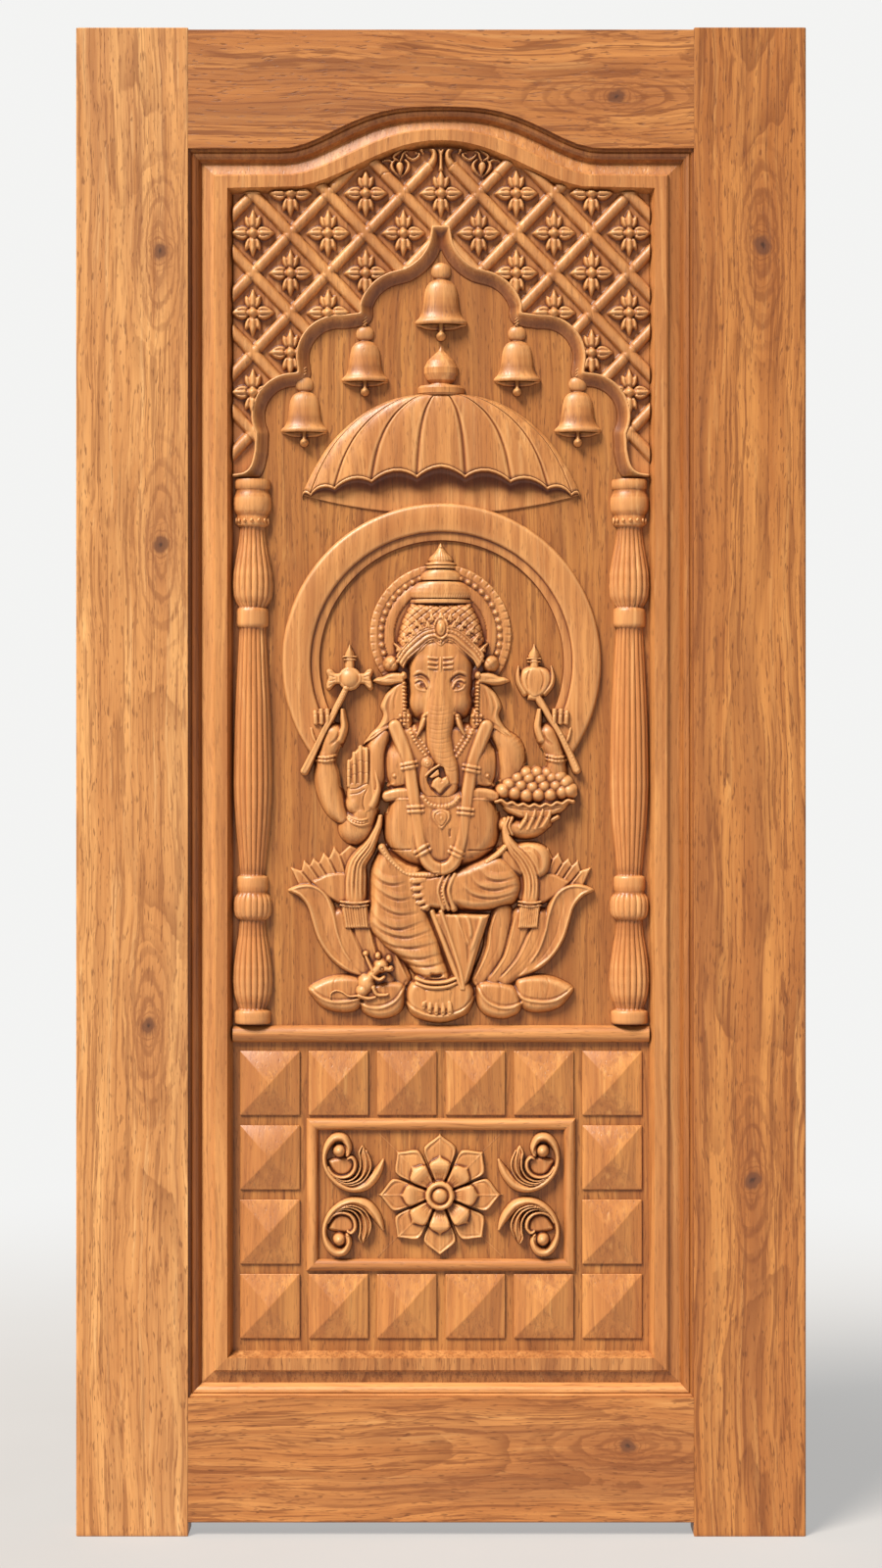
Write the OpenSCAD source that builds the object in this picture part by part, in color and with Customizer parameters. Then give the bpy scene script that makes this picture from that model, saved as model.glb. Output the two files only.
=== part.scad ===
// Carved temple door leaf: framed stiles and rails, and a panel with a seated elephant-headed figure

/* [Leaf] */
// Width over both stiles
leaf_w = 1016; // [1012:2:1024]
// Height of the stiles
leaf_h = 2100; // [2096:2:2110]
// Thickness of the stiles and rails
leaf_t = 50; // [50:1:56]
// Width of each stile on the face
stile_w = 156; // [154:1:158]
// Height of the top rail at its ends
top_rail_h = 165; // [163:1:168]
// Height of the bottom rail
bottom_rail_h = 174; // [172:1:176]
// How far the stiles run below the bottom rail
foot_gap = 19; // [10:1:24]
// How far the stiles stand above the top rail
horn = 3; // [0:1:6]
// Edge chamfer on the outer arrises
arris = 2; // [1:0.5:4]

/* [Joints] */
// Length of each tenon in its stile
tenon_l = 110; // [80:5:130]
// How far the board runs into the grooves
tongue = 9; // [6:1:11]
// Free space round a tenon or tongue
fit_gap = 0.3; // [0.2:0.1:0.6]

/* [Panel] */
// Depth of the carved ground below the face of the stiles
ground_depth = 24; // [24:0.5:26]
// Thickness of the board under the carving
board_t = 18; // [16:1:20]
// Rise of the arch in the lower edge of the top rail
arch_rise = 58; // [54:1:62]
// Half length of the raised part of that arch
arch_half = 222; // [210:2:230]
// Width of the bead round the opening
bead_w = 18; // [16:1:20]
// Width of the border moulding inside the bead
border_w = 43; // [41:1:45]

/* [Lattice and arch] */
// Half width of a lattice cell
cell_x = 52.6; // [52:0.1:53]
// Half height of a lattice cell
cell_z = 55.6; // [55:0.1:56]
// Thickness of the lattice ground
lattice_t = 4; // [3:0.5:5]
// Radius of the rising lattice bars
bar_r = 7.2; // [6.8:0.1:7.6]
// Height of the fillet on the cusped arch
arch_h = 12; // [10:0.5:14]
// Width of that fillet
fillet_w = 3.4; // [2.6:0.2:4]
// Radius of the two lower foils
foil_r = 60; // [59:0.5:61]
// Width of the bevel inside the fillet
bevel_w = 16; // [14:0.5:17]

/* [Columns and bells] */
// Distance of each column from the centre line
column_x = 264; // [263:0.5:264]
// Depth of a column against its half width
column_k = 0.78; // [0.7:0.02:0.8]
// Depth of the reeds against the column radius
reed_k = 0.13; // [0.06:0.01:0.16]
// Height of the centre bell without knob and clapper
bell_h = 68; // [66:1:70]
// Size of the side bells against the centre one
side_bell_k = 0.9; // [0.86:0.01:0.91]
// Depth of a bell against its half width
bell_k = 0.55; // [0.45:0.01:0.6]

/* [Figure] */
// Height of the figure from the lotus base to the tip of the crown
figure_h = 671; // [664:1:674]
// Height of the lotus base above the floor
figure_z = 713; // [712:0.5:715]

/* [Lower field] */
// Centre of the half-round rail under the columns
rail_z = 697.5; // [697:0.5:698]
// Half height of that rail
rail_r = 12; // [10:0.5:12.5]
// Width of a pyramid boss
boss_w = 83.6; // [80:0.2:88]
// Height of a pyramid boss on the face
boss_l = 90; // [86:1:92]
// Relief of a pyramid boss
boss_h = 17; // [12:1:20]
// Distance between boss columns
boss_pitch_x = 95.8; // [95:0.2:97]
// Distance between boss rows
boss_pitch_z = 104.1; // [104:0.1:104.4]
// Centre of the lowest boss row above the floor
boss_z = 316.4; // [316:0.1:317]
// Half width of the sunk frame
sunk_x = 188.5; // [187:0.5:190]
// Half height of the sunk frame
sunk_z = 107; // [104:0.5:108]
// Width of the half-round bead of the sunk frame
sunk_w = 17; // [15:0.5:18]
// Reach of the outer rosette petals
rosette_r = 82; // [78:1:84]

/* [Hidden] */
front_y = -leaf_t / 2;
ground_y = front_y + ground_depth;
open_x = leaf_w / 2 - stile_w;
open_z0 = foot_gap + bottom_rail_h;
open_z1 = leaf_h - horn - top_rail_h;
field_d = bead_w + border_w;
wood = [0.78, 0.53, 0.31];
pale = [0.85, 0.61, 0.38];
deep = [0.66, 0.42, 0.22];
boss_rows = [0, 1, 2, 3];
boss_cols = [0, 1, 2, 3, 4, 5];
boss_names = [for (r = boss_rows, c = boss_cols) if (r == 0 || r == 3 || c == 0 || c == 5) str("boss_", r, "_", c)];
sides = ["left", "right", "bottom", "top"];
bells = ["bell_centre", "bell_inner_left", "bell_inner_right", "bell_outer_left", "bell_outer_right"];
scrolls = ["scroll_upper_left", "scroll_upper_right", "scroll_lower_left", "scroll_lower_right"];

// Drawing board: x across, y up the door, z out of the carved ground
module face() {
    translate([0, ground_y, 0]) rotate([90, 0, 0]) children();
}

// Smooth curve through route points, n steps to a span
function smooth_at(a, b, c, d, t) =
    0.5 * (2 * b + (c - a) * t + (2 * a - 5 * b + 4 * c - d) * t * t + (3 * b - a - 3 * c + d) * t * t * t);
function smooth(p, n) = concat(
    [for (i = [0:len(p) - 2], k = [0:n - 1])
        smooth_at(p[max(i - 1, 0)], p[i], p[i + 1], p[min(i + 2, len(p) - 1)], k / n)],
    [p[len(p) - 1]]
);

// Closed solid through a row of closed sections with as many points each
module loft(sections) {
    n = len(sections[0]);
    m = len(sections);
    skin = [for (i = [0:m - 2], j = [0:n - 1])
        let (a = i * n + j, b = i * n + (j + 1) % n) each [[a, b, b + n], [a, b + n, a + n]]];
    ends = [concat([0], [for (j = [n - 1:-1:1]) j]), [for (j = [0:n - 1]) (m - 1) * n + j]];
    polyhedron([for (s = sections) each s], concat(skin, ends));
}

// Closed solid under a grid of relief points, down to the carved ground
module patch(rows) {
    m = len(rows);
    n = len(rows[0]);
    q = m * n;
    rim = concat(
        [for (j = [0:n - 1]) j],
        [for (i = [1:m - 1]) i * n + n - 1],
        [for (j = [n - 2:-1:0]) (m - 1) * n + j],
        [for (i = [m - 2:-1:1]) i * n]
    );
    k = len(rim);
    skin = [for (i = [0:m - 2], j = [0:n - 2])
        let (a = i * n + j) each [[a, a + 1, a + n + 1], [a, a + n + 1, a + n],
            [a + n + 1 + q, a + 1 + q, a + q], [a + n + q, a + n + 1 + q, a + q]]];
    walls = [for (i = [0:k - 1])
        let (a = rim[i], b = rim[(i + 1) % k]) each [[b, a, a + q], [b, a + q, b + q]]];
    polyhedron(
        concat([for (r = rows) each r], [for (r = rows, v = r) [v.x, v.y, 0]]),
        concat(skin, walls)
    );
}

// Rounded strip along a route of [x, y, half width, relief], its back a little under the ground
strip_section = [[-1, 0.3], [-0.55, 0.9], [0, 1], [0.55, 0.9], [1, 0.3]];
strip_back = -1;
module strip(route, n) {
    p = smooth(route, n);
    e = len(p) - 1;
    loft([for (i = [0:e])
        let (t = p[min(i + 1, e)] - p[max(i - 1, 0)], w = p[i][2] / norm([t.x, t.y]))
        concat(
            [for (s = strip_section) [p[i].x - t.y * w * s.x, p[i].y + t.x * w * s.x, p[i][3] * s.y]],
            [for (s = [1, -1]) [p[i].x - t.y * w * s, p[i].y + t.x * w * s, strip_back]]
        )]);
}

// Arched edge at depth d inside the opening, at a share u of its half width
function edge_rise(d) = arch_rise + 10 * max(d, 0) / 62;
function edge_power(d) = 1.5 - 0.5 * min(max(d, 0) / 62, 1);
function edge_z(x, d) =
    open_z1 - d + edge_rise(d) * 0.5 * (1 + cos(180 * pow(min(abs(x) / arch_half, 1), edge_power(d))));
function edge_point(u, d) = [u * (open_x - d), edge_z(u * (open_x - d), d)];
edge_steps = 11;
edge_shares = concat([-1], [for (i = [-edge_steps:edge_steps]) 0.66 * i / edge_steps], [1]);
function edge_line(d) = [for (u = edge_shares) edge_point(u, d)];

// Moulding on one side of the opening, mitred at both ends, profile of [depth inside the opening, relief]
function side_section(side, u, profile) = [for (p = profile)
    let (x = open_x - p.x, y = ground_y - p.y)
    side == "top" ? [edge_point(u, p.x).x, y, edge_point(u, p.x).y] :
    side == "bottom" ? [-u * x, y, open_z0 + p.x] :
    [side == "left" ? -x : x, y, (u < 0) == (side == "left") ? open_z0 + p.x : open_z1 - p.x]];
module moulding(side, profile) {
    loft([for (u = side == "top" ? edge_shares : [-1, 1]) side_section(side, u, profile)]);
}

bead_profile = [[0, 0], [bead_w, 0], [bead_w, 8], [16, 10.5], [13.5, 15], [10, 17.6], [6.8, 18.4], [4.6, 17],
    [2.6, 20], [0, 20]];
border_profile = [[field_d - 26.6, 13], [bead_w, 8], [bead_w, 0], [field_d, 0], [field_d - 7, 18.5],
    [field_d - 23.5, 18.5], [field_d - 26, 16.4]];

module bead(side) {
    color(pale) moulding(side, bead_profile);
}

module border(side) {
    color(wood) moulding(side, border_profile);
}

// Tenon block, grown by a gap for its mortise
tenon_t = board_t - 2;
module tenon(side, z0, z1, gap) {
    x = side < 0 ? -open_x - tenon_l - gap : open_x - gap;
    translate([x, ground_y + 1 - gap, z0 - gap])
        cube([tenon_l + 2 * gap, tenon_t + 2 * gap, z1 - z0 + 2 * gap]);
}
bottom_tenon = [foot_gap + 25, open_z0 - 30];
top_tenon = [open_z1 + 30, leaf_h - horn - 25];

// Haunch of a rail end in the stile groove
module haunch(z0, z1) {
    translate([-open_x - tongue, ground_y, z0]) cube([2 * (open_x + tongue), board_t, z1 - z0]);
}

module stile(side) {
    inner = open_x;
    outer = leaf_w / 2;
    groove = tongue + 1;
    color(wood) difference() {
        mirror([side < 0 ? 1 : 0, 0, 0]) linear_extrude(leaf_h) polygon([
            [inner, front_y], [outer - arris, front_y], [outer, front_y + arris],
            [outer, -front_y - arris], [outer - arris, -front_y], [inner, -front_y]
        ]);
        translate([side < 0 ? -inner - groove : inner - 1, ground_y - fit_gap, foot_gap])
            cube([groove + 1, board_t + 2 * fit_gap, leaf_h - horn - foot_gap]);
        tenon(side, bottom_tenon.x, bottom_tenon.y, fit_gap);
        tenon(side, top_tenon.x, top_tenon.y, fit_gap);
    }
}

module top_rail() {
    top_z = leaf_h - horn;
    color(wood) difference() {
        union() {
            translate([0, leaf_t / 2, 0]) rotate([90, 0, 0]) linear_extrude(leaf_t)
                polygon(concat(edge_line(0), [[open_x, top_z], [-open_x, top_z]]));
            for (s = [-1, 1]) tenon(s, top_tenon.x, top_tenon.y, 0);
            haunch(open_z1 + tongue + 1, top_z);
        }
        translate([0, ground_y + board_t + fit_gap, 0]) rotate([90, 0, 0])
            linear_extrude(board_t + 2 * fit_gap)
            polygon(concat(
                [for (u = edge_shares) edge_point(u, 0) + [0, tongue + 1]],
                [[open_x, open_z1 - 1], [-open_x, open_z1 - 1]]
            ));
    }
}

module bottom_rail() {
    color(wood) union() {
        rotate([90, 0, 90]) translate([0, 0, -open_x]) linear_extrude(2 * open_x) polygon([
            [front_y, foot_gap + arris], [front_y + arris, foot_gap], [-front_y - arris, foot_gap],
            [-front_y, foot_gap + arris], [-front_y, open_z0],
            [ground_y + board_t + fit_gap, open_z0], [ground_y + board_t + fit_gap, open_z0 - tongue - 1],
            [ground_y - fit_gap, open_z0 - tongue - 1], [ground_y - fit_gap, open_z0], [front_y, open_z0]
        ]);
        for (s = [-1, 1]) tenon(s, bottom_tenon.x, bottom_tenon.y, 0);
        haunch(foot_gap, open_z0 - tongue - 1);
    }
}

module panel_board() {
    color(deep) translate([0, ground_y + board_t, 0]) rotate([90, 0, 0]) linear_extrude(board_t)
        polygon(concat(
            [[-open_x - tongue, open_z0 - tongue], [-open_x - tongue, open_z1 + tongue]],
            [for (u = edge_shares) edge_point(u, 0) + [0, tongue]],
            [[open_x + tongue, open_z1 + tongue], [open_x + tongue, open_z0 - tongue]]
        ));
}

// Cusped arch, left half: foils as [centre x, centre y, radius, first angle, last angle]
foils = [[-205, 1562, foil_r, 205, 105], [-143, 1643, foil_r, 185, 85], [-50, 1700, foil_r + 6, 162, 105]];
foil_steps = [5, 5, 3];
cusps = [[[-200.5, 1622.7], [-193, 1618.5]], [[-113.2, 1705.9], [-106, 1690.5]]];
arch_leg = [[[-290, 1480], [-263, 1476]], [[-275, 1483], [-252, 1478]], [[-265.5, 1493], [-246.5, 1490]],
    [[-260.5, 1513], [-244, 1514]]];
arch_keel = [[[-50, 1768], [-42, 1751.5]], [[-36, 1777], [-27, 1760]], [[-24, 1790], [-17, 1770]],
    [[-16.5, 1806], [-0.6, 1783]], [[-13, 1827], [-0.6, 1806]]];
function foil(i) = [for (k = [0:foil_steps[i]])
    let (f = foils[i], a = f[3] + (f[4] - f[3]) * k / foil_steps[i], u = [cos(a), sin(a)])
    [[f.x, f.y] + f.z * u, [f.x, f.y] + (f.z - bevel_w) * u]];
arch_left = concat(arch_leg, foil(0), [cusps[0]], foil(1), [cusps[1]], foil(2), arch_keel);
arch_stations = concat(
    arch_left,
    [for (i = [len(arch_left) - 1:-1:0]) [for (p = arch_left[i]) [-p.x, p.y]]]
);

module cusped_arch() {
    color(pale) face() loft([for (s = arch_stations)
        let (o = s[0], f = s[1], w = o + (f - o) / norm(f - o) * fillet_w)
        [[f.x, f.y, 1], [w.x, w.y, arch_h], [o.x, o.y, arch_h], [o.x, o.y, 0], [f.x, f.y, 0]]]);
}

// Outline of the lattice: field edge over the outer line of the arch
module lattice_outline() {
    field = edge_line(field_d);
    polygon(concat(
        [for (s = arch_stations) s[0]],
        [[open_x - field_d, 1480]],
        [for (i = [len(field) - 1:-1:0]) field[i]],
        [[field_d - open_x, 1480]]
    ));
}

// Four-petal flower of the lattice as crossed lens outlines
module lens(half_l, half_w) {
    r = (half_l * half_l + half_w * half_w) / (2 * half_w);
    intersection() {
        translate([0, r - half_w]) circle(r);
        translate([0, half_w - r]) circle(r);
    }
}
flower_x = 27.5;
flower_z = 30;
lattice_z = 1872.5;
cells = [for (i = [-5:5], j = [0:5]) if ((i + j) % 2 == 0) [i * cell_x, lattice_z - j * cell_z]];

module flower_outlines(k) {
    for (c = cells) translate(c) {
        lens(flower_x * k, 9 * k);
        rotate(90) lens(flower_z * k, 9 * k);
    }
}

module lattice_bars(lean, r) {
    tilt = atan2(cell_x, cell_z);
    for (i = [-9:2:9])
        translate([i * cell_x, lattice_z, lattice_t]) rotate([-90, 0, 0]) rotate([0, lean * tilt, 0])
            translate([0, 0, -520]) cylinder(h = 720, r = r);
}

module lattice_spandrel() {
    color(wood) face() {
        linear_extrude(lattice_t) lattice_outline();
        intersection() {
            union() {
                lattice_bars(1, bar_r);
                lattice_bars(-1, bar_r - 0.7);
            }
            translate([0, 0, 1]) linear_extrude(20) lattice_outline();
        }
        linear_extrude(lattice_t + 3.5) intersection() {
            flower_outlines(1);
            lattice_outline();
        }
        linear_extrude(lattice_t + 6) intersection() {
            flower_outlines(0.72);
            lattice_outline();
        }
    }
}

// Turned column as [height above its foot, radius, share of the reeding]
column_foot = 712;
column_turning = [[0, 24, 0], [18, 24, 0], [21, 19.5, 1], [36, 25, 1], [60, 26.9, 1], [97, 24.5, 1], [124, 20.5, 1],
    [146, 19, 1], [148, 23, 0.8], [157, 26.5, 0.8], [172, 26.5, 0.8], [181, 22.5, 0.8], [184, 20.8, 0], [207, 20.8, 0],
    [209, 17, 1], [280, 24, 1], [335, 26.9, 1], [420, 25.3, 1], [500, 21.4, 1], [554, 18.4, 1], [556, 21.8, 0],
    [580, 21.8, 0], [582, 19, 1], [596, 25.5, 1], [612, 26.9, 1], [649, 24.5, 1], [695, 19, 1], [697, 24.5, 0.8],
    [709, 24.5, 0.8], [711, 22.5, 0], [720, 26.2, 0], [734, 26.4, 0], [745, 22.5, 0], [748, 24.5, 0], [761, 24.5, 0]];
reeds = 8;
module column(side) {
    color(wood) loft([for (c = column_turning) [for (k = [0:2 * reeds])
        let (a = 180 * k / (2 * reeds), r = c.y * (1 - reed_k * c.z * (k % 2 == 0 ? 1 : 0)))
        [side * column_x + r * cos(a), ground_y - column_k * r * sin(a), column_foot + c.x]]]);
}

// Bell as a turned profile of [radius, height above the lip]
clapper_end = -15;
bell_profile = [[0, clapper_end], [4.5, clapper_end + 1.5], [6.4, clapper_end + 5.5], [5, clapper_end + 9.5],
    [2.8, -3], [2.8, 1], [33, 0], [36, 2.5], [35.5, 6], [30.5, 10.5], [25.5, 19], [22.6, 32], [21.2, 46],
    [19, 57], [14.5, bell_h - 3.5], [8, bell_h], [7.2, bell_h + 2.5], [11, bell_h + 5], [12.6, bell_h + 11],
    [11.6, bell_h + 18], [8.5, bell_h + 23.5], [0, bell_h + 26]];
bell_places = [[0, 1683, 1], [-106.4, 1604, side_bell_k], [106.4, 1604, side_bell_k],
    [-191.4, 1533, side_bell_k], [191.4, 1533, side_bell_k]];
module bell(i) {
    p = bell_places[i];
    color(pale) translate([p.x, ground_y, p.y]) scale([p.z, p.z * bell_k, p.z]) rotate([0, 0, 180])
        rotate_extrude(angle = 180, $fn = 48) polygon(bell_profile);
}

// Canopy: gores round a dome seen from a little below, over a thin lip behind it
gores = 9;
gore_steps = 3;
canopy_top = 1590;
canopy_end = 1452;
canopy_r0 = 26;
canopy_r1 = 193;
canopy_sag = 34;
canopy_bulge = 19;
halo_z = 1217;
halo_r = 223.8;
dome_rows = [0, 0.2, 0.44, 0.7, 1];
function gore_share(j) = let (s = j / gore_steps - floor(j / gore_steps)) 4 * s * (1 - s);
function canopy_x(t, a) = (canopy_r0 + (canopy_r1 - canopy_r0) * sin(90 * t)) * sin(a);
function canopy_y(t, a) = canopy_top - (canopy_top - canopy_end) * (1 - cos(90 * t)) + canopy_sag * sin(90 * t) * cos(a) * t;
module canopy() {
    cols = [0:gores * gore_steps];
    dome = [for (t = dome_rows) [for (j = cols)
        let (a = -90 + 180 * j / (gores * gore_steps), g = gore_share(j))
        [canopy_x(t, a), canopy_y(t, a) + (t == 1 ? 9 * g * cos(a) : 0),
            3 + canopy_bulge * sin(35 + 55 * t) * cos(a) * (0.86 + 0.14 * g)]]];
    under = [for (h = [0, 1]) [for (j = cols)
        let (a = -90 + 180 * j / (gores * gore_steps), g = gore_share(j), x = canopy_x(1, a),
            rim = canopy_y(1, a) + 9 * g * cos(a) - 0.8,
            lip = canopy_end - 2 - 26 * (1 - pow(x / canopy_r1, 2)),
            ring = halo_z + sqrt(halo_r * halo_r - x * x) + 0.4)
        [x, h == 0 ? rim : max(lip, ring), 2.4]]];
    color(wood) face() patch(concat(dome, under));
}

finial_profile = [[0, 0], [30, 0], [33, 3], [33, 10], [30, 13.5], [17, 14.5], [15, 17], [20, 22], [24, 31], [24, 39],
    [19, 49], [10, 57.5], [4, 63], [0, 70]];
module canopy_finial() {
    color(pale) translate([0, ground_y, canopy_top + 0.5]) scale([1, 0.62, 1]) rotate([0, 0, 180])
        rotate_extrude(angle = 180, $fn = 48) polygon(finial_profile);
}

// Figure on a grid of proportions: x from the centre line, y from the lotus base, relief in millimetres
grid = figure_h / 492;
module egg(x, y, rx, ry, h) {
    translate([x, y, 0]) scale([rx, ry, h]) sphere(1, $fn = 8);
}
module rod(a, b, r, h) {
    hull() for (p = [a, b]) translate([p.x, p.y, h - r]) sphere(r, $fn = 5);
}
module dot(x, y, r, h) {
    translate([x, y, h - r]) sphere(r, $fn = 5);
}
module both() {
    children();
    mirror([1, 0, 0]) children();
}
module limb(route, n) {
    strip(route, n);
}

halo_profile = [[125, 0], [125, 4], [134, 4.6], [136, 9], [161, 9], [halo_r / grid, 0]];
head_halo_profile = [[0, 0], [0, 4.4], [49, 4.4], [50, 6.4], [56, 6.4], [57, 4.4], [72, 4], [72, 0]];
crown_profile = [[0, 386], [46, 388], [45, 405], [38, 424], [32.5, 434], [35.5, 440], [34, 450], [23.5, 454],
    [21, 465], [16, 467], [15.5, 472], [8.5, 473], [11, 479], [0, 492]];
bowl_profile = [[0, 208], [14, 209], [30, 215], [39, 222], [41, 230], [0, 230]];
sweet_rows = [[6, 234, 62, 13.4], [5, 243, 71, 12.6], [3, 251, 83, 13]];

module turned(profile, k) {
    scale([1, 1, k]) rotate([-90, 0, 0]) rotate_extrude($fn = 12) polygon(profile);
}

module halos() {
    translate([0.5, 369, 0]) rotate(-42) rotate_extrude(angle = 264, $fn = 40) polygon(halo_profile);
    translate([0, 398, 0]) rotate_extrude($fn = 24) polygon(head_halo_profile);
}

module head() {
    turned(crown_profile, 0.36);
    egg(0, 352, 35, 42, 18.5);
    both() egg(19, 326, 17, 20, 17.5);
    limb([[-41, 362, 4, 18], [-24, 384, 5, 19.5], [0, 390, 5, 20.5], [24, 384, 5, 19.5], [41, 362, 4, 18]], 1);
    rod([0, 399], [0, 411], 6.5, 20);
    limb([[0, 352, 11, 20], [-1, 335, 11, 21.5], [-2, 308, 14.5, 22.5], [-2, 293, 14, 22.5], [3, 277, 12.5, 22.5],
        [9, 264, 11, 22], [9, 252, 9.5, 21], [1, 244, 7.5, 20.5], [-7, 247, 5.5, 20], [-8, 255, 4, 19.5]], 1);
    both() rod([16, 319], [23, 298.5], 3.4, 18.6);
    both() limb([[32, 346, 15, 13], [50, 351, 12, 13.5], [64, 350.5, 5, 12], [71, 349, 1.2, 11]], 1);
    both() limb([[40, 344, 13, 12], [51, 330, 15, 12], [51, 313, 14, 11.5], [48, 303, 9, 11]], 1);
    both() limb([[38, 318, 12, 13], [54, 303, 10, 12], [68, 292, 6, 11], [79, 286, 1.2, 10]], 1);
    both() rod([37, 356], [37.5, 312], 4, 17);
}

module torso() {
    egg(0, 268, 56, 44, 16);
    both() egg(44, 263, 16, 18, 17);
    egg(0, 191, 61, 42, 21.5);
    limb([[-57, 234, 7, 17.5], [0, 238, 7, 19.5], [57, 234, 7, 17.5]], 1);
    limb([[-43, 306, 8, 18.5], [-33, 264, 8, 20], [-26.5, 220, 8, 22], [-19, 180, 8, 23], [0, 165, 8, 23],
        [19, 180, 8, 23], [26.5, 220, 8, 22], [33, 264, 8, 20], [43, 306, 8, 18.5]], 1);
    both() limb([[62, 182, 6, 17], [48, 164, 6, 19], [28, 150, 6, 20]], 1);
}

module rear_arm() {
    limb([[-104, 212, 13, 12], [-113, 238, 15, 13.5], [-117, 257, 14, 14], [-118, 273, 11.5, 14],
        [-116, 297, 13, 15], [-116, 309, 11, 14]], 1);
    for (x = [-128, -120.5, -113, -105.5]) rod([x, 306], [x, 319], 3.8, 15.5);
    rod([-101, 300], [-101, 318], 3.6, 15);
}

module held_things() {
    limb([[-139, 258, 4, 11], [-119.6, 297, 4, 12], [-95, 350.5, 3.4, 10]], 1);
    limb([[140, 258, 4, 11], [120.4, 296, 4, 12], [96.5, 351, 3.4, 10]], 1);
    egg(-94, 353, 11.5, 11.5, 15.5);
    linear_extrude(11.5) polygon([[-94, 358], [-108, 359], [-122, 365], [-117, 353], [-122, 340], [-108, 347], [-94, 348]]);
    linear_extrude(11.5) polygon([[-94, 358], [-83, 358], [-71, 365], [-75, 353], [-71, 340], [-83, 348], [-94, 348]]);
    both() limb([[95, 360, 5, 12], [95, 372, 6, 12.5], [95, 381, 4, 12], [95, 388, 1, 11]], 1);
    egg(96, 352, 18.5, 13, 15);
    rod([80, 352], [80, 364], 4, 13);
    rod([112, 352], [112, 364], 4, 13);
}

module front_arms() {
    both() limb([[68, 290, 15, 13.5], [72, 262, 15, 13.5], [66, 236, 14, 14]], 1);
    egg(-81, 237, 19, 27, 16);
    egg(-85, 201, 20, 18, 15);
    for (f = [[-96, 271], [-89, 280], [-81.5, 284], [-74, 281]]) rod([f.x + 1, 230], f, 4.2, 16.5);
    rod([-64, 240], [-66, 262], 4, 16);
    limb([[50, 206, 12, 15], [70, 200, 12, 15.5], [94.5, 204.2, 13, 14.4]], 1);
    for (x = [90, 98, 106, 114]) rod([x, 216], [x - 2, 198], 4, 18);
    translate([96, 0, 0]) turned(bowl_profile, 0.42);
    for (r = sweet_rows, i = [0:r[0] - 1])
        dot(r[2] + i * r[3], r[1], 7, 17);
}

module legs() {
    limb([[36, 178, 19, 17], [80, 174, 19, 16.5], [108, 166, 17, 16], [117, 160, 8, 13]], 1);
    limb([[112, 160, 17, 16], [92, 148, 22, 18.5], [60, 137, 23, 20], [25, 134, 20, 20.5], [2, 134, 16, 20],
        [-14, 134, 16, 19], [-28, 134, 14, 17]], 1);
    for (i = [0:4]) dot(-29.7, 148.4 - 7 * i, 4.6, 17.2 - 0.4 * i);
    rod([1, 119], [1, 149], 3.4, 22);
    limb([[-66, 172, 20, 16.5], [-60, 140, 29, 18], [-52, 106, 27, 18.5], [-27, 74, 24, 18], [-8, 52, 18, 17],
        [-5, 38, 15, 16]], 1);
    limb([[-26, 43, 5, 17.5], [-5, 38.5, 5, 20], [15, 43, 5, 17.5]], 1);
    limb([[-5, 36, 14, 17], [-4, 24, 17, 17.5], [-4, 14, 16, 16.5]], 1);
    for (i = [0:4]) dot(-18.6 + 7 * i, 9.4 + 0.6 * i, 4.6, 17.2);
    linear_extrude(14) polygon([[-12, 120], [51, 120], [40, 75], [27, 34], [20, 34], [2, 80]]);
    limb([[20, 112, 5, 18], [23, 75, 5, 17], [23, 38, 3, 15.5]], 1);
    limb([[-62, 188, 7, 15], [-80, 166, 10, 14], [-92, 147, 14, 13.5], [-89, 123, 14, 13], [-87, 97, 12, 10]], 1);
    limb([[62, 186, 7, 15], [80, 164, 10, 14], [91, 147, 13, 13.5], [91, 123, 12, 13], [89, 98, 11, 10]], 1);
}

module lotus() {
    both() limb([[76, 52, 22, 9.5], [112, 88, 25, 11], [137, 122, 18, 13], [151, 134, 8, 14], [157, 135, 1.2, 13]], 1);
    both() limb([[58, 50, 18, 11], [84, 84, 17, 12], [101, 116, 12, 12.5], [112, 140, 2, 11]], 1);
    both() limb([[32, 50, 16, 11], [52, 80, 15, 12.5], [68, 104, 6, 13]], 1);
    both() linear_extrude(5)
        polygon([[84, 120], [154, 150], [148, 160], [139, 158], [138, 170], [126, 167], [120, 178], [109, 181], [84, 176]]);
    both() limb([[82, 40, 13, 11], [108, 30, 20, 12.5], [127, 32, 10, 12], [137, 35, 1.2, 10]], 1);
    both() limb([[31.7, 27.3, 15, 12.6], [62, 24, 20, 14], [80, 26, 12, 13], [87, 28, 2, 11]], 1);
    egg(-1.3, 20.6, 39, 20.6, 15.5);
}

module mouse() {
    egg(-77, 42, 13, 15, 19);
    egg(-63, 56, 10, 9, 20);
    rod([-60, 57], [-51.5, 55], 3, 18.5);
    egg(-71, 66, 5.5, 7, 17);
    egg(-60, 65, 5, 7, 18);
    rod([-68, 32], [-60, 31], 3.4, 18.5);
    limb([[-86, 34, 3.4, 15.5], [-97, 38, 2.8, 15], [-106, 36, 2.4, 14.5], [-112, 28, 1.8, 14]], 1);
}

module deity_relief() {
    color(pale) face() translate([0, figure_z, 0]) intersection() {
        scale([grid, grid, 1]) {
            halos();
            lotus();
            rear_arm();
            mirror([1, 0, 0]) rear_arm();
            held_things();
            torso();
            head();
            legs();
            front_arms();
            mouse();
        }
        translate([-320, -5, 0]) cube([640, figure_h + 20, 23.5]);
    }
}

module bead_rail() {
    half = open_x - field_d;
    color(wood) difference() {
        translate([-half, ground_y, rail_z]) rotate([0, 90, 0]) cylinder(h = 2 * half, r = rail_r);
        translate([-half - 1, ground_y, rail_z - 20]) cube([2 * half + 2, 40, 40]);
    }
}

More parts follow.
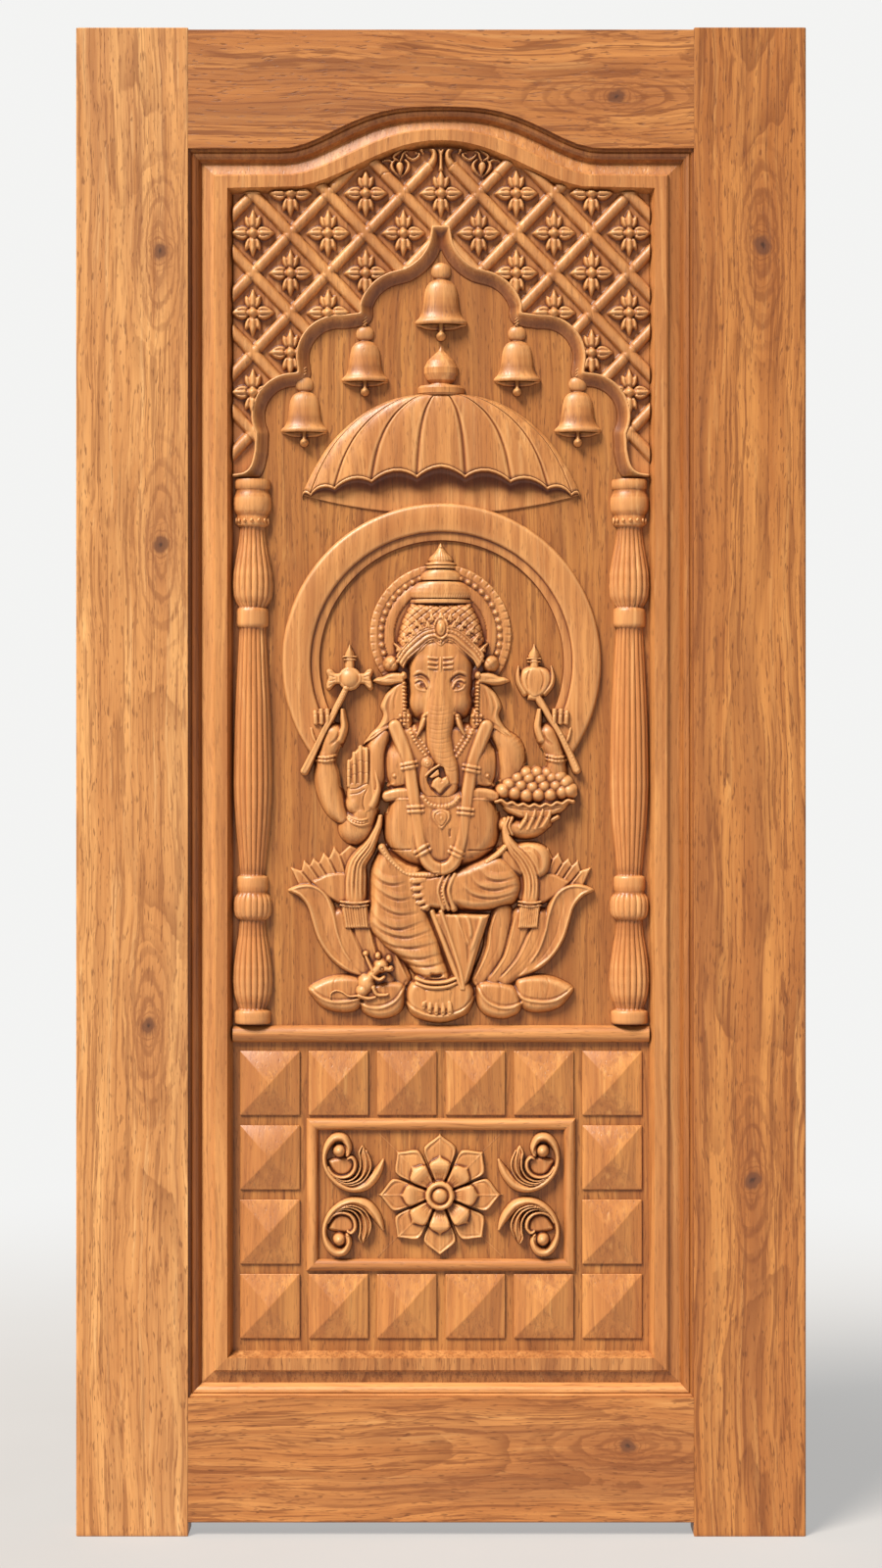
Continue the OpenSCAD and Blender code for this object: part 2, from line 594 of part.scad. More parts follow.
boss_edge = 3;
module boss(r, c) {
    x = (c - 2.5) * boss_pitch_x;
    z = boss_z + (3 - r) * boss_pitch_z;
    w = boss_w / 2;
    l = boss_l / 2;
    base = [[-w, -l], [w, -l], [w, l], [-w, l]];
    color(pale) face() translate([x, z, 0]) polyhedron(
        concat([for (p = base) [p.x, p.y, 0]], [for (p = base) [p.x, p.y, boss_edge]], [[0, 0, boss_h]]),
        [[0, 1, 2, 3], [1, 0, 4, 5], [2, 1, 5, 6], [3, 2, 6, 7], [0, 3, 7, 4],
            [5, 4, 8], [6, 5, 8], [7, 6, 8], [4, 7, 8]]
    );
}

// Sunk frame and its rosette and scrolls, about the middle of the lower field
sunk_mid = boss_z + 1.5 * boss_pitch_z;
module sunk_bead(i) {
    across = i > 1;
    reach = across ? sunk_x : sunk_z;
    off = (across ? sunk_z : sunk_x) - sunk_w / 2;
    turn = [90, -90, 180, 0][i];
    color(wood) face() translate([0, sunk_mid, 0]) rotate(turn) intersection() {
        translate([-reach, off, 0]) rotate([0, 90, 0]) cylinder(h = 2 * reach, r = sunk_w / 2);
        linear_extrude(sunk_w) polygon([
            [-reach, off + sunk_w / 2], [reach, off + sunk_w / 2],
            [reach - sunk_w, off - sunk_w / 2], [sunk_w - reach, off - sunk_w / 2]
        ]);
    }
}

module rosette_petals(reach, half_w) {
    for (i = [0:7]) rotate(45 * i) translate([reach / 2 + 5, 0]) lens(reach / 2 - 5, half_w);
}
module rosette() {
    slit = 1.4;
    color(pale) face() translate([0, sunk_mid, 0]) {
        difference() {
            intersection() {
                linear_extrude(12) rosette_petals(rosette_r, 27);
                cylinder(h = 11, r1 = rosette_r + 75, r2 = rosette_r - 60);
            }
            for (i = [0:7]) rotate(45 * i + 22.5) translate([30, -slit / 2, 3]) cube([rosette_r, slit, 12]);
        }
        intersection() {
            linear_extrude(16) rosette_petals(0.63 * rosette_r, 17);
            cylinder(h = 15, r1 = 82, r2 = 24);
        }
        rotate_extrude($fn = 48) polygon([[0, 0], [20, 0], [20, 15], [18.6, 17.2], [16, 17.8], [13.6, 16.2], [12, 16],
            [10.5, 18.6], [7, 20.4], [0, 21]]);
    }
}

// Leaf scroll of the upper left corner, others mirrored
scroll_routes = [
    [[-131, 68, 5, 13], [-137, 78, 6, 13], [-152, 78, 5, 12], [-164, 55, 3.5, 11], [-159, 29, 4.5, 11.5],
        [-138, 11, 6.5, 12.5], [-110, 10.5, 7.5, 12.5], [-90, 27, 6, 12], [-80, 47, 2.5, 10]],
    [[-150, 24, 3, 12], [-128, 17, 4.5, 13.5], [-106, 28, 5, 14], [-102, 53, 4.5, 13], [-110, 67.5, 1.2, 11]],
    [[-158, 34, 3, 11], [-144, 24, 5, 12], [-126, 25, 6, 13], [-119, 40, 4.5, 13], [-130, 50.5, 2.5, 12.5]]
];
scroll_eye = [-140.7, 62.3, 9.7];
module scroll(i) {
    flip_x = i % 2;
    flip_y = floor(i / 2);
    color(pale) face() translate([0, sunk_mid, 0]) mirror([flip_x, 0, 0]) mirror([0, flip_y, 0]) intersection() {
        union() {
            for (r = scroll_routes) strip(r, 1);
            translate([scroll_eye.x, scroll_eye.y, 4]) sphere(scroll_eye.z, $fn = 10);
        }
        translate([-sunk_x, -sunk_z, 0]) cube([2 * sunk_x, 2 * sunk_z, 30]);
    }
}

stile(-1);  // left_stile
stile(1);  // right_stile
top_rail();
bottom_rail();
panel_board();
for (s = sides) bead(s);
for (s = sides) border(s);
lattice_spandrel();
cusped_arch();
column(-1);  // left_column
column(1);  // right_column
for (i = [0:4]) bell(i);
canopy();
canopy_finial();
deity_relief();
bead_rail();
for (r = boss_rows, c = boss_cols) if (r == 0 || r == 3 || c == 0 || c == 5) boss(r, c);
for (i = [0:3]) sunk_bead(i);
rosette();
for (i = [0:3]) scroll(i);
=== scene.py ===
import bpy
import math
import numpy as np
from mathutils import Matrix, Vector


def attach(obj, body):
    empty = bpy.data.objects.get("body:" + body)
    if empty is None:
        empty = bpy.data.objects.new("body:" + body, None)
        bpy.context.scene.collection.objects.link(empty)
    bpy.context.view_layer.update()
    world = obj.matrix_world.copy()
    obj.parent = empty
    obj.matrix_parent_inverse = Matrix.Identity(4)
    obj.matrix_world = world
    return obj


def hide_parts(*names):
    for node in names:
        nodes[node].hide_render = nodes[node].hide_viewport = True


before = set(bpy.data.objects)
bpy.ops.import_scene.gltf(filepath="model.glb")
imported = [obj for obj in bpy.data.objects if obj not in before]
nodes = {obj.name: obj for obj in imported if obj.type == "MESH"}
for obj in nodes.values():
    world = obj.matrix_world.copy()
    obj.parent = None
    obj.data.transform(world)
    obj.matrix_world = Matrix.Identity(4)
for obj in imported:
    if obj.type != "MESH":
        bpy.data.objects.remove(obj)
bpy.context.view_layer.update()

# Carving: heights in millimetres over a drawing
# Height of empty ground: below the board, so that every outline is a level line
LOW = -4.0


def smooth(points, n):
    """Catmull-Rom curve through the points, n steps to a span."""
    p = np.array(points, float)
    if n < 2:
        return p
    p = np.vstack([p[:1], p, p[-1:]])
    t = (np.arange(n) / n)[:, None]
    out = []
    for i in range(1, len(p) - 2):
        a, b, c, d = p[i - 1 : i + 3]
        bend = (2 * a - 5 * b + 4 * c - d) * t**2
        twist = (3 * b - a - 3 * c + d) * t**3
        out.append(0.5 * (2 * b + (c - a) * t + bend + twist))
    out.append(p[-2:-1])
    return np.vstack(out)


def closed(points, n):
    """Closed Catmull-Rom curve."""
    p = [list(q) for q in points]
    return smooth(p[-1:] + p + p[:2], n)[n : -n - 1] if n > 1 else np.array(p, float)


def along(x, y, line):
    """Distance to a polyline and the place along it, counted in points."""
    best = np.full(x.shape, 1e9)
    pos = np.zeros(x.shape)
    for i in range(len(line) - 1):
        ax, ay = line[i, 0], line[i, 1]
        dx, dy = line[i + 1, 0] - ax, line[i + 1, 1] - ay
        t = np.clip(((x - ax) * dx + (y - ay) * dy) / (dx * dx + dy * dy + 1e-9), 0, 1)
        ox, oy = x - ax - t * dx, y - ay - t * dy
        r2 = ox * ox + oy * oy
        near = r2 < best
        best = np.where(near, r2, best)
        pos = np.where(near, i + t, pos)
    return np.sqrt(best), pos


def inside(x, y, ring):
    """True inside a closed outline."""
    odd = np.zeros(x.shape, bool)
    for i in range(len(ring)):
        ax, ay = ring[i - 1, 0], ring[i - 1, 1]
        bx, by = ring[i, 0], ring[i, 1]
        cut = (ay > y) != (by > y)
        odd ^= cut & (x < (bx - ax) * (y - ay) / (by - ay + 1e-12) + ax)
    return odd


class Relief:
    """Carved surface over a drawing: heights in millimetres on a square grid."""

    def __init__(self, x0, x1, y0, y1, step):
        self.step = step
        self.x = np.arange(x0, x1 + step, step)
        self.y = np.arange(y0, y1 + step, step)
        self.h = np.full((len(self.y), len(self.x)), LOW)
        # painted shade, and with positive values painted highlight, added to how hollow the carving is
        self.shading_and_stain = 0.0 * self.h

    def window(self, points, margin):
        """Cells round some points, and their places."""
        p = np.array([q[:2] for q in points], float)
        i0, i1 = np.searchsorted(self.x, [p[:, 0].min() - margin, p[:, 0].max() + margin])
        j0, j1 = np.searchsorted(self.y, [p[:, 1].min() - margin, p[:, 1].max() + margin])
        win = np.s_[j0:j1, i0:i1]
        x, y = np.meshgrid(self.x[i0:i1], self.y[j0:j1])
        return win, x, y

    def put(self, win, h, blend=0.0):
        """Keeps the higher of old and new, with a soft join where blend is set."""
        old = self.h[win]
        top = np.maximum(old, h)
        if blend:
            near = np.clip(blend - np.abs(old - h), 0, None) / blend
            top = top + near * near * blend / 4
        self.h[win] = top

    def at(self, x, y):
        """Height at one place."""
        i = min(np.searchsorted(self.x, x), len(self.x) - 1)
        j = min(np.searchsorted(self.y, y), len(self.y) - 1)
        return max(self.h[j, i], 0.0)

    def blob(self, x, y, rx, ry, top, base=0.0, power=2.2, blend=0.0):
        """Round or oval boss; a higher power makes its top flatter."""
        win, gx, gy = self.window([(x, y)], 1.3 * max(rx, ry))
        q = np.hypot((gx - x) / rx, (gy - y) / ry)
        h = base + (top - base) * (1 - q**power)
        self.put(win, np.where(q < 1.3, np.maximum(h, LOW), LOW), blend)

    def tube(self, route, n=6, power=2.2, base=0.0, blend=0.0):
        """Rounded limb along points of [x, y, half width, top]."""
        line = smooth(route, n)
        win, gx, gy = self.window(line, 1.35 * line[:, 2].max())
        if not gx.size:
            return
        d, pos = along(gx, gy, line)
        k = np.arange(len(line))
        w = np.interp(pos, k, line[:, 2])
        top = np.interp(pos, k, line[:, 3])
        q = d / np.maximum(w, 0.2)
        h = base + (top - base) * (1 - q**power)
        self.put(win, np.where(q < 1.35, np.maximum(h, LOW), LOW), blend)

    def plate(self, outline, top, edge, n=0, power=2.0, crown=0.0, base=0.0):
        """Raised shape inside an outline: an edge of the given width, then a low crown."""
        ring = closed(outline, n)
        win, gx, gy = self.window(ring, edge)
        d, _ = along(gx, gy, np.vstack([ring, ring[:1]]))
        t = d / edge
        rise = np.where(inside(gx, gy, ring), 1 - (1 - np.clip(t, 0, 1)) ** power, -power * t)
        h = base + (top - base) * rise
        if crown:
            h = h + np.where(rise > 0, crown * np.clip(d / d.max(), 0, 1) ** 0.7, 0)
        self.put(win, np.where(rise > -1, np.maximum(h, LOW), LOW))

    def ridge(self, route, half, rise, n=6, taper=0.0, power=2.0):
        """Raises or, with a negative rise, cuts the carved surface along a route."""
        line = smooth(route, n)
        win, gx, gy = self.window(line, half)
        if not gx.size:
            return
        d, pos = along(gx, gy, line)
        lift = rise * np.clip(1 - (d / half) ** power, 0, None)
        if taper:
            share = pos / (len(line) - 1)
            lift = lift * np.clip(np.minimum(share, 1 - share) / taper, 0, 1)
        self.h[win] = np.where(self.h[win] > 0, self.h[win] + lift, self.h[win])

    def paint(self, route, half, value, n=4):
        """Paints shade, with a negative value, along a route."""
        line = smooth(route, n)
        win, gx, gy = self.window(line, half)
        d, _ = along(gx, gy, line)
        self.shading_and_stain[win] += value * np.clip(1 - (d / half) ** 2, 0, None)

    def beads(self, route, pitch, r, lift, n=8):
        """Row of small balls on the carved surface."""
        line = smooth(route, n)[:, :2]
        run = np.concatenate([[0], np.cumsum(np.hypot(*np.diff(line, axis=0).T))])
        for s in np.linspace(0, run[-1], max(int(run[-1] / pitch), 1) + 1):
            x, y = np.interp(s, run, line[:, 0]), np.interp(s, run, line[:, 1])
            z = self.at(x, y)
            self.blob(x, y, r, r, z + lift, z - 0.6, 2.0)

    def soften(self):
        """Takes the tool marks off: a small even blur where something is carved."""
        h = self.h
        b = h.copy()
        b[1:-1, 1:-1] = (
            4 * h[1:-1, 1:-1]
            + 2 * (h[:-2, 1:-1] + h[2:, 1:-1] + h[1:-1, :-2] + h[1:-1, 2:])
            + h[:-2, :-2] + h[:-2, 2:] + h[2:, :-2] + h[2:, 2:]
        ) / 16
        self.h = b


def sheet(left, top, scale):
    """Turns places on an enlarged drawing sheet into figure units."""

    def place(*points):
        return [[left + p[0] / scale, top - p[1] / scale] + list(p[2:]) for p in points]

    return place


def same(route):
    return route


def mirrored(route):
    return [[-p[0]] + list(p[1:]) for p in route]


def circle(x, y, rx, ry, n):
    """Closed line of n steps round an oval."""
    return [[x + rx * np.cos(t), y + ry * np.sin(t)] for t in np.linspace(0, 2 * np.pi, n + 1)]


# Figure units are 1.364 mm, counted from the middle of the seat's lower edge
# Drawing sheets: left and top edge in those units, and sheet points to a unit
head_at = sheet(-110, 505, 7.127)
body_at = sheet(-170, 345, 4.612)
legs_at = sheet(-170, 195, 4.612)


# Figure: one function for each thing carved
def head_halo():
    """Small halo behind the head: raised ring, row of balls and notched rim."""
    r = Relief(-78, 78, 318, 474, 0.8)
    x, y = np.meshgrid(r.x, r.y)
    d = np.hypot(x + 0.5, y - 398)
    a = np.degrees(np.arctan2(y - 398, x + 0.5))
    notch = 0.5 + 0.5 * np.cos(np.radians(a * 54))
    rim = 4.6 - 1.1 * np.clip((d - 65) / 6, 0, 1) * (notch > 0.8)
    h = np.select(
        [d < 47.6, d < 57.5, d < 64.6, d < 73],
        [3.6 + 0 * d, 6.8 - 0.06 * (d - 52.5) ** 2, 3.4 + 0 * d, rim - 0.03 * (d - 67) ** 2],
        LOW,
    )
    r.h = np.where(d > 72, np.maximum(4.0 - 4 * (d - 72), LOW), h)
    for k in range(-26, 207, 8):
        t = np.radians(k)
        r.blob(-0.5 + 61 * np.cos(t), 398 + 61 * np.sin(t), 3.7, 3.7, 7.4, 1.5, 2.0)
    return r


def ears(r):
    """Ears and the knots of cloth over them."""
    for flip in (same, mirrored):
        # lower ear falling to a pointed flap
        r.plate(flip([[-34, 352], [-46, 350], [-54, 342], [-59.5, 334], [-63, 324.5], [-60.5, 316],
            [-64, 307], [-71, 298], [-80, 286.5], [-67, 289], [-52, 299], [-38, 305], [-34, 320]]),
            12.6, 5.5, 4, crown=1.6)
        r.plate(flip(body_at((640, 96), (575, 124), (520, 162), (462, 205), (430, 245), (412, 282),
            (446, 260), (510, 226), (580, 208), (650, 218))), 13.2, 5.5, 3, crown=1.6)
        r.ridge(flip(body_at((612, 152), (550, 174), (490, 210), (432, 260))), 2.2, -1.4, taper=0.2)
        r.ridge(flip([[-52, 343], [-57.6, 333], [-60.8, 324.5], [-58.4, 316], [-62, 307], [-70, 297],
            [-78, 288]]), 1.3, 1.1, taper=0.15)
        r.ridge(flip([[-48, 343], [-53, 333], [-55, 322], [-52, 311]]), 2.2, -1.3, taper=0.3)
        r.ridge(flip([[-44, 343], [-47.5, 332], [-48, 318]]), 1.6, -0.9, taper=0.3)
        # upper ear lobe with a curled edge
        r.plate(flip([[-71.5, 350.5], [-66, 354.6], [-60, 356], [-54, 359], [-47, 360.4], [-37, 358.4],
            [-36, 347.6], [-44, 346], [-52, 345], [-60, 345.6], [-66.5, 347.6]]), 14.6, 4.4, 3, crown=1.4)
        r.ridge(flip([[-70, 351], [-62, 355], [-54, 357.6], [-46, 358.6], [-38, 357]]),
            1.7, 1.5, taper=0.12)
        r.ridge(flip([[-62, 350.6], [-54, 352.6], [-45, 353]]), 1.4, -0.7, taper=0.3)
        # knot of cloth beside the crown
        r.blob(*flip(head_at((425, 975)))[0], 11, 11, 13.5, power=2.6)
        for a, b in (
            ((375, 925), (460, 1005)),
            ((400, 905), (480, 975)),
            ((385, 1005), (450, 930)),
            ((420, 1030), (480, 960)),
        ):
            r.ridge(flip(head_at(a, b)), 3.2, 1.9, n=2, taper=0.25)
        r.beads(flip(head_at((372, 930), (392, 912), (420, 905), (448, 912))), 4.4, 2.2, 1.6)


def eye(r, sx):
    """Socket, ball, lids, pupil and brow of one eye."""
    cx = sx * 20 - 1

    def at(*points):
        return [[cx - sx * p[0], 346 + p[1]] for p in points]

    r.ridge(at((-9, 3), (-2, 6), (6, 3), (9.5, -3)), 6.0, -2.0, taper=0.4)
    r.blob(cx - sx * 0.6, 346, 7.0, 5.0, 18.0, 13, 2.4)
    r.ridge(at((-6.4, 3), (-2.2, 5.6), (1.8, 5.2), (5.2, 2), (7.2, -3.4)), 1.5, 1.9, taper=0.1)
    r.ridge(at((-6, 1.2), (-3.6, -3.2), (1, -5.4), (6, -5.8)), 1.2, 1.0, taper=0.12)
    # painted shade along the lid and in the pupil
    r.paint(at((-5, 2.2), (-2, 3.6), (1.4, 3.2), (4.4, 0.4), (6.2, -3.6)), 1.5, -2.0)
    r.paint(at((1.2, 0.1), (1.8, 0)), 3.1, -3.4)
    r.ridge(at((1.2, 0.1), (1.8, 0)), 2.0, -1.6, n=1)
    r.ridge(at((-7.6, 8.4), (-0.3, 11.2), (6.1, 8.2), (9.6, 2.6)), 1.5, -1.7, taper=0.2)
    r.ridge(at((-8, 10.6), (0, 13.8), (7.4, 10)), 2.0, 1.0, taper=0.3)
    # painted shade in the groove under the brow
    r.paint(at((-7, 8.4), (-0.3, 11.2), (6.1, 8.2), (9.2, 3)), 1.7, -1.0)
    r.ridge(at((-7, 5.6), (-1, 8.2), (5.4, 5.6)), 1.1, -0.8, taper=0.25)


def face(r):
    """Brow, cheeks and eyes."""
    r.plate(head_at((534, 960), (528, 1060), (533, 1150), (546, 1240), (584, 1322), (636, 1374),
        (700, 1398), (855, 1398), (918, 1374), (972, 1322), (1010, 1240), (1022, 1150), (1030, 1060),
        (1026, 960), (960, 800), (780, 760), (600, 800)), 15.2, 12, 5, crown=3.4)
    r.blob(-0.5, 377, 26, 24, 18.4, 9, blend=2)
    for sx in (-1, 1):
        r.blob(sx * 14.5, 368, 16, 15, 18.9, 10, blend=3)
        r.blob(sx * 19 - 1, 329, 12, 14, 18.0, 9, blend=4)
        eye(r, sx)


def trunk(r):
    """Trunk from the brow over the chest, with a disc beside its end."""
    r.tube([[-0.5, 366, 8, 16.8], [-0.5, 354, 11.5, 18.4], [-1, 340, 15, 20.4], [-1.4, 326, 17.6, 22.0],
        [-1.6, 314, 18, 22.8], [-2, 303, 15.8, 23.2], [-2.2, 294, 14.8, 23.4], [-1, 284, 15, 23.4],
        [3, 273, 13.8, 23.2], [8.3, 263.5, 11.2, 22.8], [11.2, 255, 8.8, 22], [12.2, 248, 7.4, 21]],
        power=3.0, base=11, blend=4)
    # its end, bent round to the left and up
    r.tube([[12.4, 250, 6.8, 20.4], [10.6, 241, 7.6, 19.6], [5, 234.5, 8, 19.2], [-3, 231.5, 8, 19],
        [-11, 235, 7.8, 18.8], [-16.2, 242, 7.2, 18.8], [-17.6, 250, 6.8, 18.8], [-16.4, 258, 7.2, 19],
        [-14.4, 264, 7.6, 19.2]], power=3.0, base=10)
    r.blob(-13.8, 266, 8, 8, 20.8, 13, 4.0)
    r.ridge(circle(-13.8, 266, 4.6, 4.6, 24), 1.1, -0.9, n=1)
    r.blob(-13.8, 266, 2.0, 2.0, 22.0, 19)
    for k in range(15):
        y = 326 - 4.8 * k
        x = np.interp(y, [256, 264, 273, 284, 294], [11.2, 8.3, 3, -1, -2.2])
        w = np.interp(y, [256, 264, 273, 284, 294, 314, 326], [7, 9, 11, 12.6, 12.8, 14.6, 12])
        r.ridge([[x - w, y + 1.4], [x, y - 1.8 + 0.5 * (-1) ** k], [x + w, y + 1.4]],
            1.0, -0.22 - 0.10 * (k % 3), taper=0.35)


def held_sweet(r):
    """Heart-shaped sweet in the bend of the trunk, dark openings beside it."""
    r.plate([[-13.6, 251.4], [-9, 257], [-2.2, 262.4], [1, 258], [-1, 253], [-9, 249.6]],
        20.2, 2.4, 2, base=12)
    r.tube([[-15.4, 253.4, 1.5, 21], [-9.4, 259.4, 1.8, 22.4], [-1.8, 264.2, 1.5, 22.2]],
        power=2.0, base=16)
    for x, y, rx, ry in ((0.8, 257.6, 3.2, 5.4), (-11.6, 248.4, 2.4, 3.6)):
        r.ridge([[x - 0.4, y + ry - rx], [x + 0.5, y - ry + rx]], rx, -7.0, n=1)
        # painted shade in the openings
        r.paint([[x - 0.4, y + ry - rx], [x + 0.5, y - ry + rx]], rx + 0.8, -4.5)
    r.plate([[-9.6, 247.4], [-6.2, 251.4], [-2.4, 253], [1, 251.6], [5.4, 253.4], [8.4, 250.6],
        [9.8, 245.8], [4.6, 240.4], [-1.4, 234.4], [-6.5, 238.5], [-10.4, 242]],
        22.4, 2.6, 3, crown=1.8, base=15)
    r.ridge([[9.2, 245.8], [4.2, 240.2], [-1.2, 235.4]], 1.2, 1.5, taper=0.1)
    r.ridge([[1, 252], [0.6, 247.4]], 1.1, -1.3, n=1)
    # painted shade under the sweet's lower edge
    r.paint([[-9.6, 241], [-6, 237.4], [-1.4, 233.4], [4.8, 239], [10, 244]], 1.6, -1.8)


def tusks(r):
    """Tusks under the lips, and the forehead mark."""
    for sx in (-1, 1):
        r.tube([[sx * 16.6, 314, 4.4, 19.8], [sx * 19.2, 305, 4.4, 20.8], [sx * 22.8, 297.5, 3.0, 19.6],
            [sx * 25, 293, 1.0, 18.4]], power=2.4)
        r.ridge([[sx * 12.5, 317.5], [sx * 17, 316], [sx * 22, 312.5]], 1.8, 1.5, taper=0.25)
        r.ridge([[sx * 13, 313.8], [sx * 17, 312.8], [sx * 21.6, 309.4]], 1.0, -1.1, taper=0.2)
    # forehead mark: bars and a leaf
    for y, w in ((373.6, 1.1), (368.4, 1.2), (363.4, 1.1)):
        for sx in (-1, 1):
            r.ridge([[sx * 3.4 - 0.5, y], [sx * 12 - 0.5, y + 0.7]], w + 0.1, 2.0, n=1)
            r.ridge([[sx * 3.4 - 0.5, y - 2.4], [sx * 12 - 0.5, y - 1.7]], 0.9, -0.7, n=1)
    r.tube([[-0.5, 359, 0.8, 20], [-0.5, 366, 2.1, 21.2], [-0.5, 374.5, 0.8, 20]], power=2.0, base=15)


def crown_dome(r):
    """Dome of the crown with its diamond pattern, cut off along the tiara."""
    dome = Relief(r.x[0], r.x[-1], r.y[0], r.y[-1], r.step)
    dome.h = dome.h[: len(r.y), : len(r.x)]
    dome.x, dome.y = r.x, r.y
    dome.plate(head_at((455, 830), (462, 760), (490, 655), (545, 545), (600, 520), (970, 520),
        (1020, 550), (1075, 655), (1105, 760), (1110, 830), (1060, 920), (500, 920)),
        13.5, 9, 4, crown=3.6)
    for k in range(-9, 10):
        for lean in (1, -1):
            x = k * 9.8
            dome.ridge([[x - lean * 31, 384], [x + lean * 31, 434]], 0.95, -1.2, n=1)
    dome.h[dome.y < 378] = LOW
    crown_low = np.interp(r.x, [-40, -28, -14, 0, 14, 28, 40], [362, 376, 389, 391, 389, 376, 362])
    dome.h = np.where(r.y[:, None] < crown_low[None, :], LOW, dome.h)
    r.h = np.maximum(r.h, dome.h)


def crown_tier(r, profile, depth):
    """Half-round tier from rows of height on the drawing and half width."""
    gy, gx = np.meshgrid(r.y, r.x, indexing="ij")
    heights, widths = zip(*profile)
    w = np.interp(r.y, heights, widths, left=-1, right=-1)[:, None] * np.ones_like(gx)
    q = np.abs(gx + 0.4) / np.maximum(w, 0.3)
    h = np.where(w > 0, 4 + depth * np.sqrt(np.maximum(w, 0)) * (1 - q**2.3), LOW)
    r.h = np.maximum(r.h, np.where(q < 1.15, np.maximum(h, LOW), LOW))


def crown_tiers(r):
    """Turned tiers and point above the dome."""
    crown_tier(r, [(430.2, 30.4), (431.2, 31.8), (433.8, 31.8), (434.6, 30.2)], 2.2)
    crown_tier(r, [(435.0, 29.4), (436.4, 33.2), (438.6, 34.6), (441.6, 34.2), (445.5, 31.8),
        (449.5, 27.4), (452.6, 21.6)], 2.35)
    crown_tier(r, [(453.6, 20.4), (455.0, 21.6), (457.5, 21.6), (461.0, 19.4), (464.4, 15.0)], 2.7)
    crown_tier(r, [(465.4, 14.6), (466.4, 15.4), (468.0, 15.4), (468.8, 14.4)], 3.0)
    crown_tier(r, [(469.2, 13.4), (470.2, 14.4), (471.2, 14.4), (472, 12.4)], 2.9)
    crown_tier(r, [(472.4, 11.2), (475, 11.7), (478, 10.2), (482, 6.4), (486.5, 3.2), (491.8, 0.5)], 3.1)
    for k in range(-13, 14):
        r.ridge([[k * 2.45, 435.6], [k * 2.6, 439.6]], 0.6, -0.5, n=1)
    for k in range(-3, 4):
        r.ridge([[k * 3, 473.5], [k * 2.2, 480], [k * 0.4, 487]], 0.7, -0.7)


def tiara(r):
    """Band over the brow, with its beads and two rows of leaves."""
    lower = np.array(head_at((505, 1015), (542, 958), (590, 915), (640, 874), (688, 826), (740, 812),
        (780, 842), (820, 812), (872, 826), (920, 874), (968, 915), (1016, 958), (1055, 1015)))
    upper = np.array(head_at((452, 925), (500, 850), (556, 790), (610, 742), (660, 716), (718, 700),
        (780, 692), (842, 700), (900, 716), (950, 742), (1004, 790), (1060, 850), (1108, 920)))
    r.plate(lower.tolist() + upper.tolist()[::-1], 18.4, 2.2, 3, power=2.0)
    for share, half, rise in (
        (0.02, 1.3, 1.5),
        (0.2, 0.9, -1.4),
        (0.36, 1.2, 0.9),
        (0.52, 0.8, -1.1),
        (0.78, 0.9, -1.2),
        (0.97, 1.3, 1.5),
    ):
        r.ridge(lower + (upper - lower) * share, half, rise)
    r.beads(lower + (upper - lower) * 0.65, 3.6, 1.4, 0.7)
    # leaves in two rows
    for row, lift, first in ((0, 18.6, 0.5), (1, 17.6, 0.0)):
        for k in range(6 - row):
            for sx in (-1, 1):
                at = 6 - (k + first) * 0.98
                x, y = [np.interp(at, np.arange(13), upper[:, i]) for i in (0, 1)]
                y = y + 6 * row
                lean = 0.16 * (k + first)
                mid = sx * -x
                tip = [sx * (-x + 7 * lean), y + 8.4]
                left = [[mid - 3.6, y - 2], [mid - 3.4, y + 2.4]]
                right = [[mid + 3.4, y + 2.4], [mid + 3.6, y - 2]]
                r.plate(left + [tip] + right, lift, 2.4, 2, crown=0.8, base=8)
                r.ridge([[mid, y], [sx * (-x + 4 * lean), y + 5]], 0.7, -0.9, n=1)


def crown_jewel(r):
    """Oval jewel in front, with a drop under it."""
    y = 404.5
    r.blob(0, y, 8.2, 12.4, 20.4, 15, 3.0)
    r.ridge(circle(0, y, 7.2, 11.2, 24), 1.1, 1.2, n=1)
    r.ridge(circle(0, y, 5, 8.6, 24), 0.9, -1.4, n=1)
    r.blob(0, y, 2.8, 5.4, 22.4, 19)
    r.tube([[0, 391, 2.4, 20.8], [0, 387, 0.8, 19.4]], power=2.0)


def ear_chains(r):
    """Chains of balls that hang from the ears."""
    for sx in (-1, 1):
        r.blob(sx * 38.2, 356, 4.2, 5, 18.6, 6)
        for k in range(9):
            r.blob(sx * (38 - 0.12 * k), 348 - 3.8 * k, 2.7 + 0.5 * (k % 2), 2.3, 17.2, 8, 2.0)
        for k in (-1, 0, 1):
            r.blob(sx * 37.2 + 4.2 * k, 314.5, 2.7, 3, 17.6, 8, 2.0)
            r.blob(sx * 37.2 + 3.6 * k, 309.5, 2.4, 2.6, 17.2, 8, 2.0)
        r.blob(sx * 37.2, 306, 4.4, 2.6, 17, 8, 2.0)


def head():
    r = Relief(-92, 92, 232, 495, 0.6)
    below = (ears, face, trunk, held_sweet, tusks)
    above = (crown_dome, crown_tiers, tiara, crown_jewel, ear_chains)
    for carve in below + above:
        carve(r)
    return r


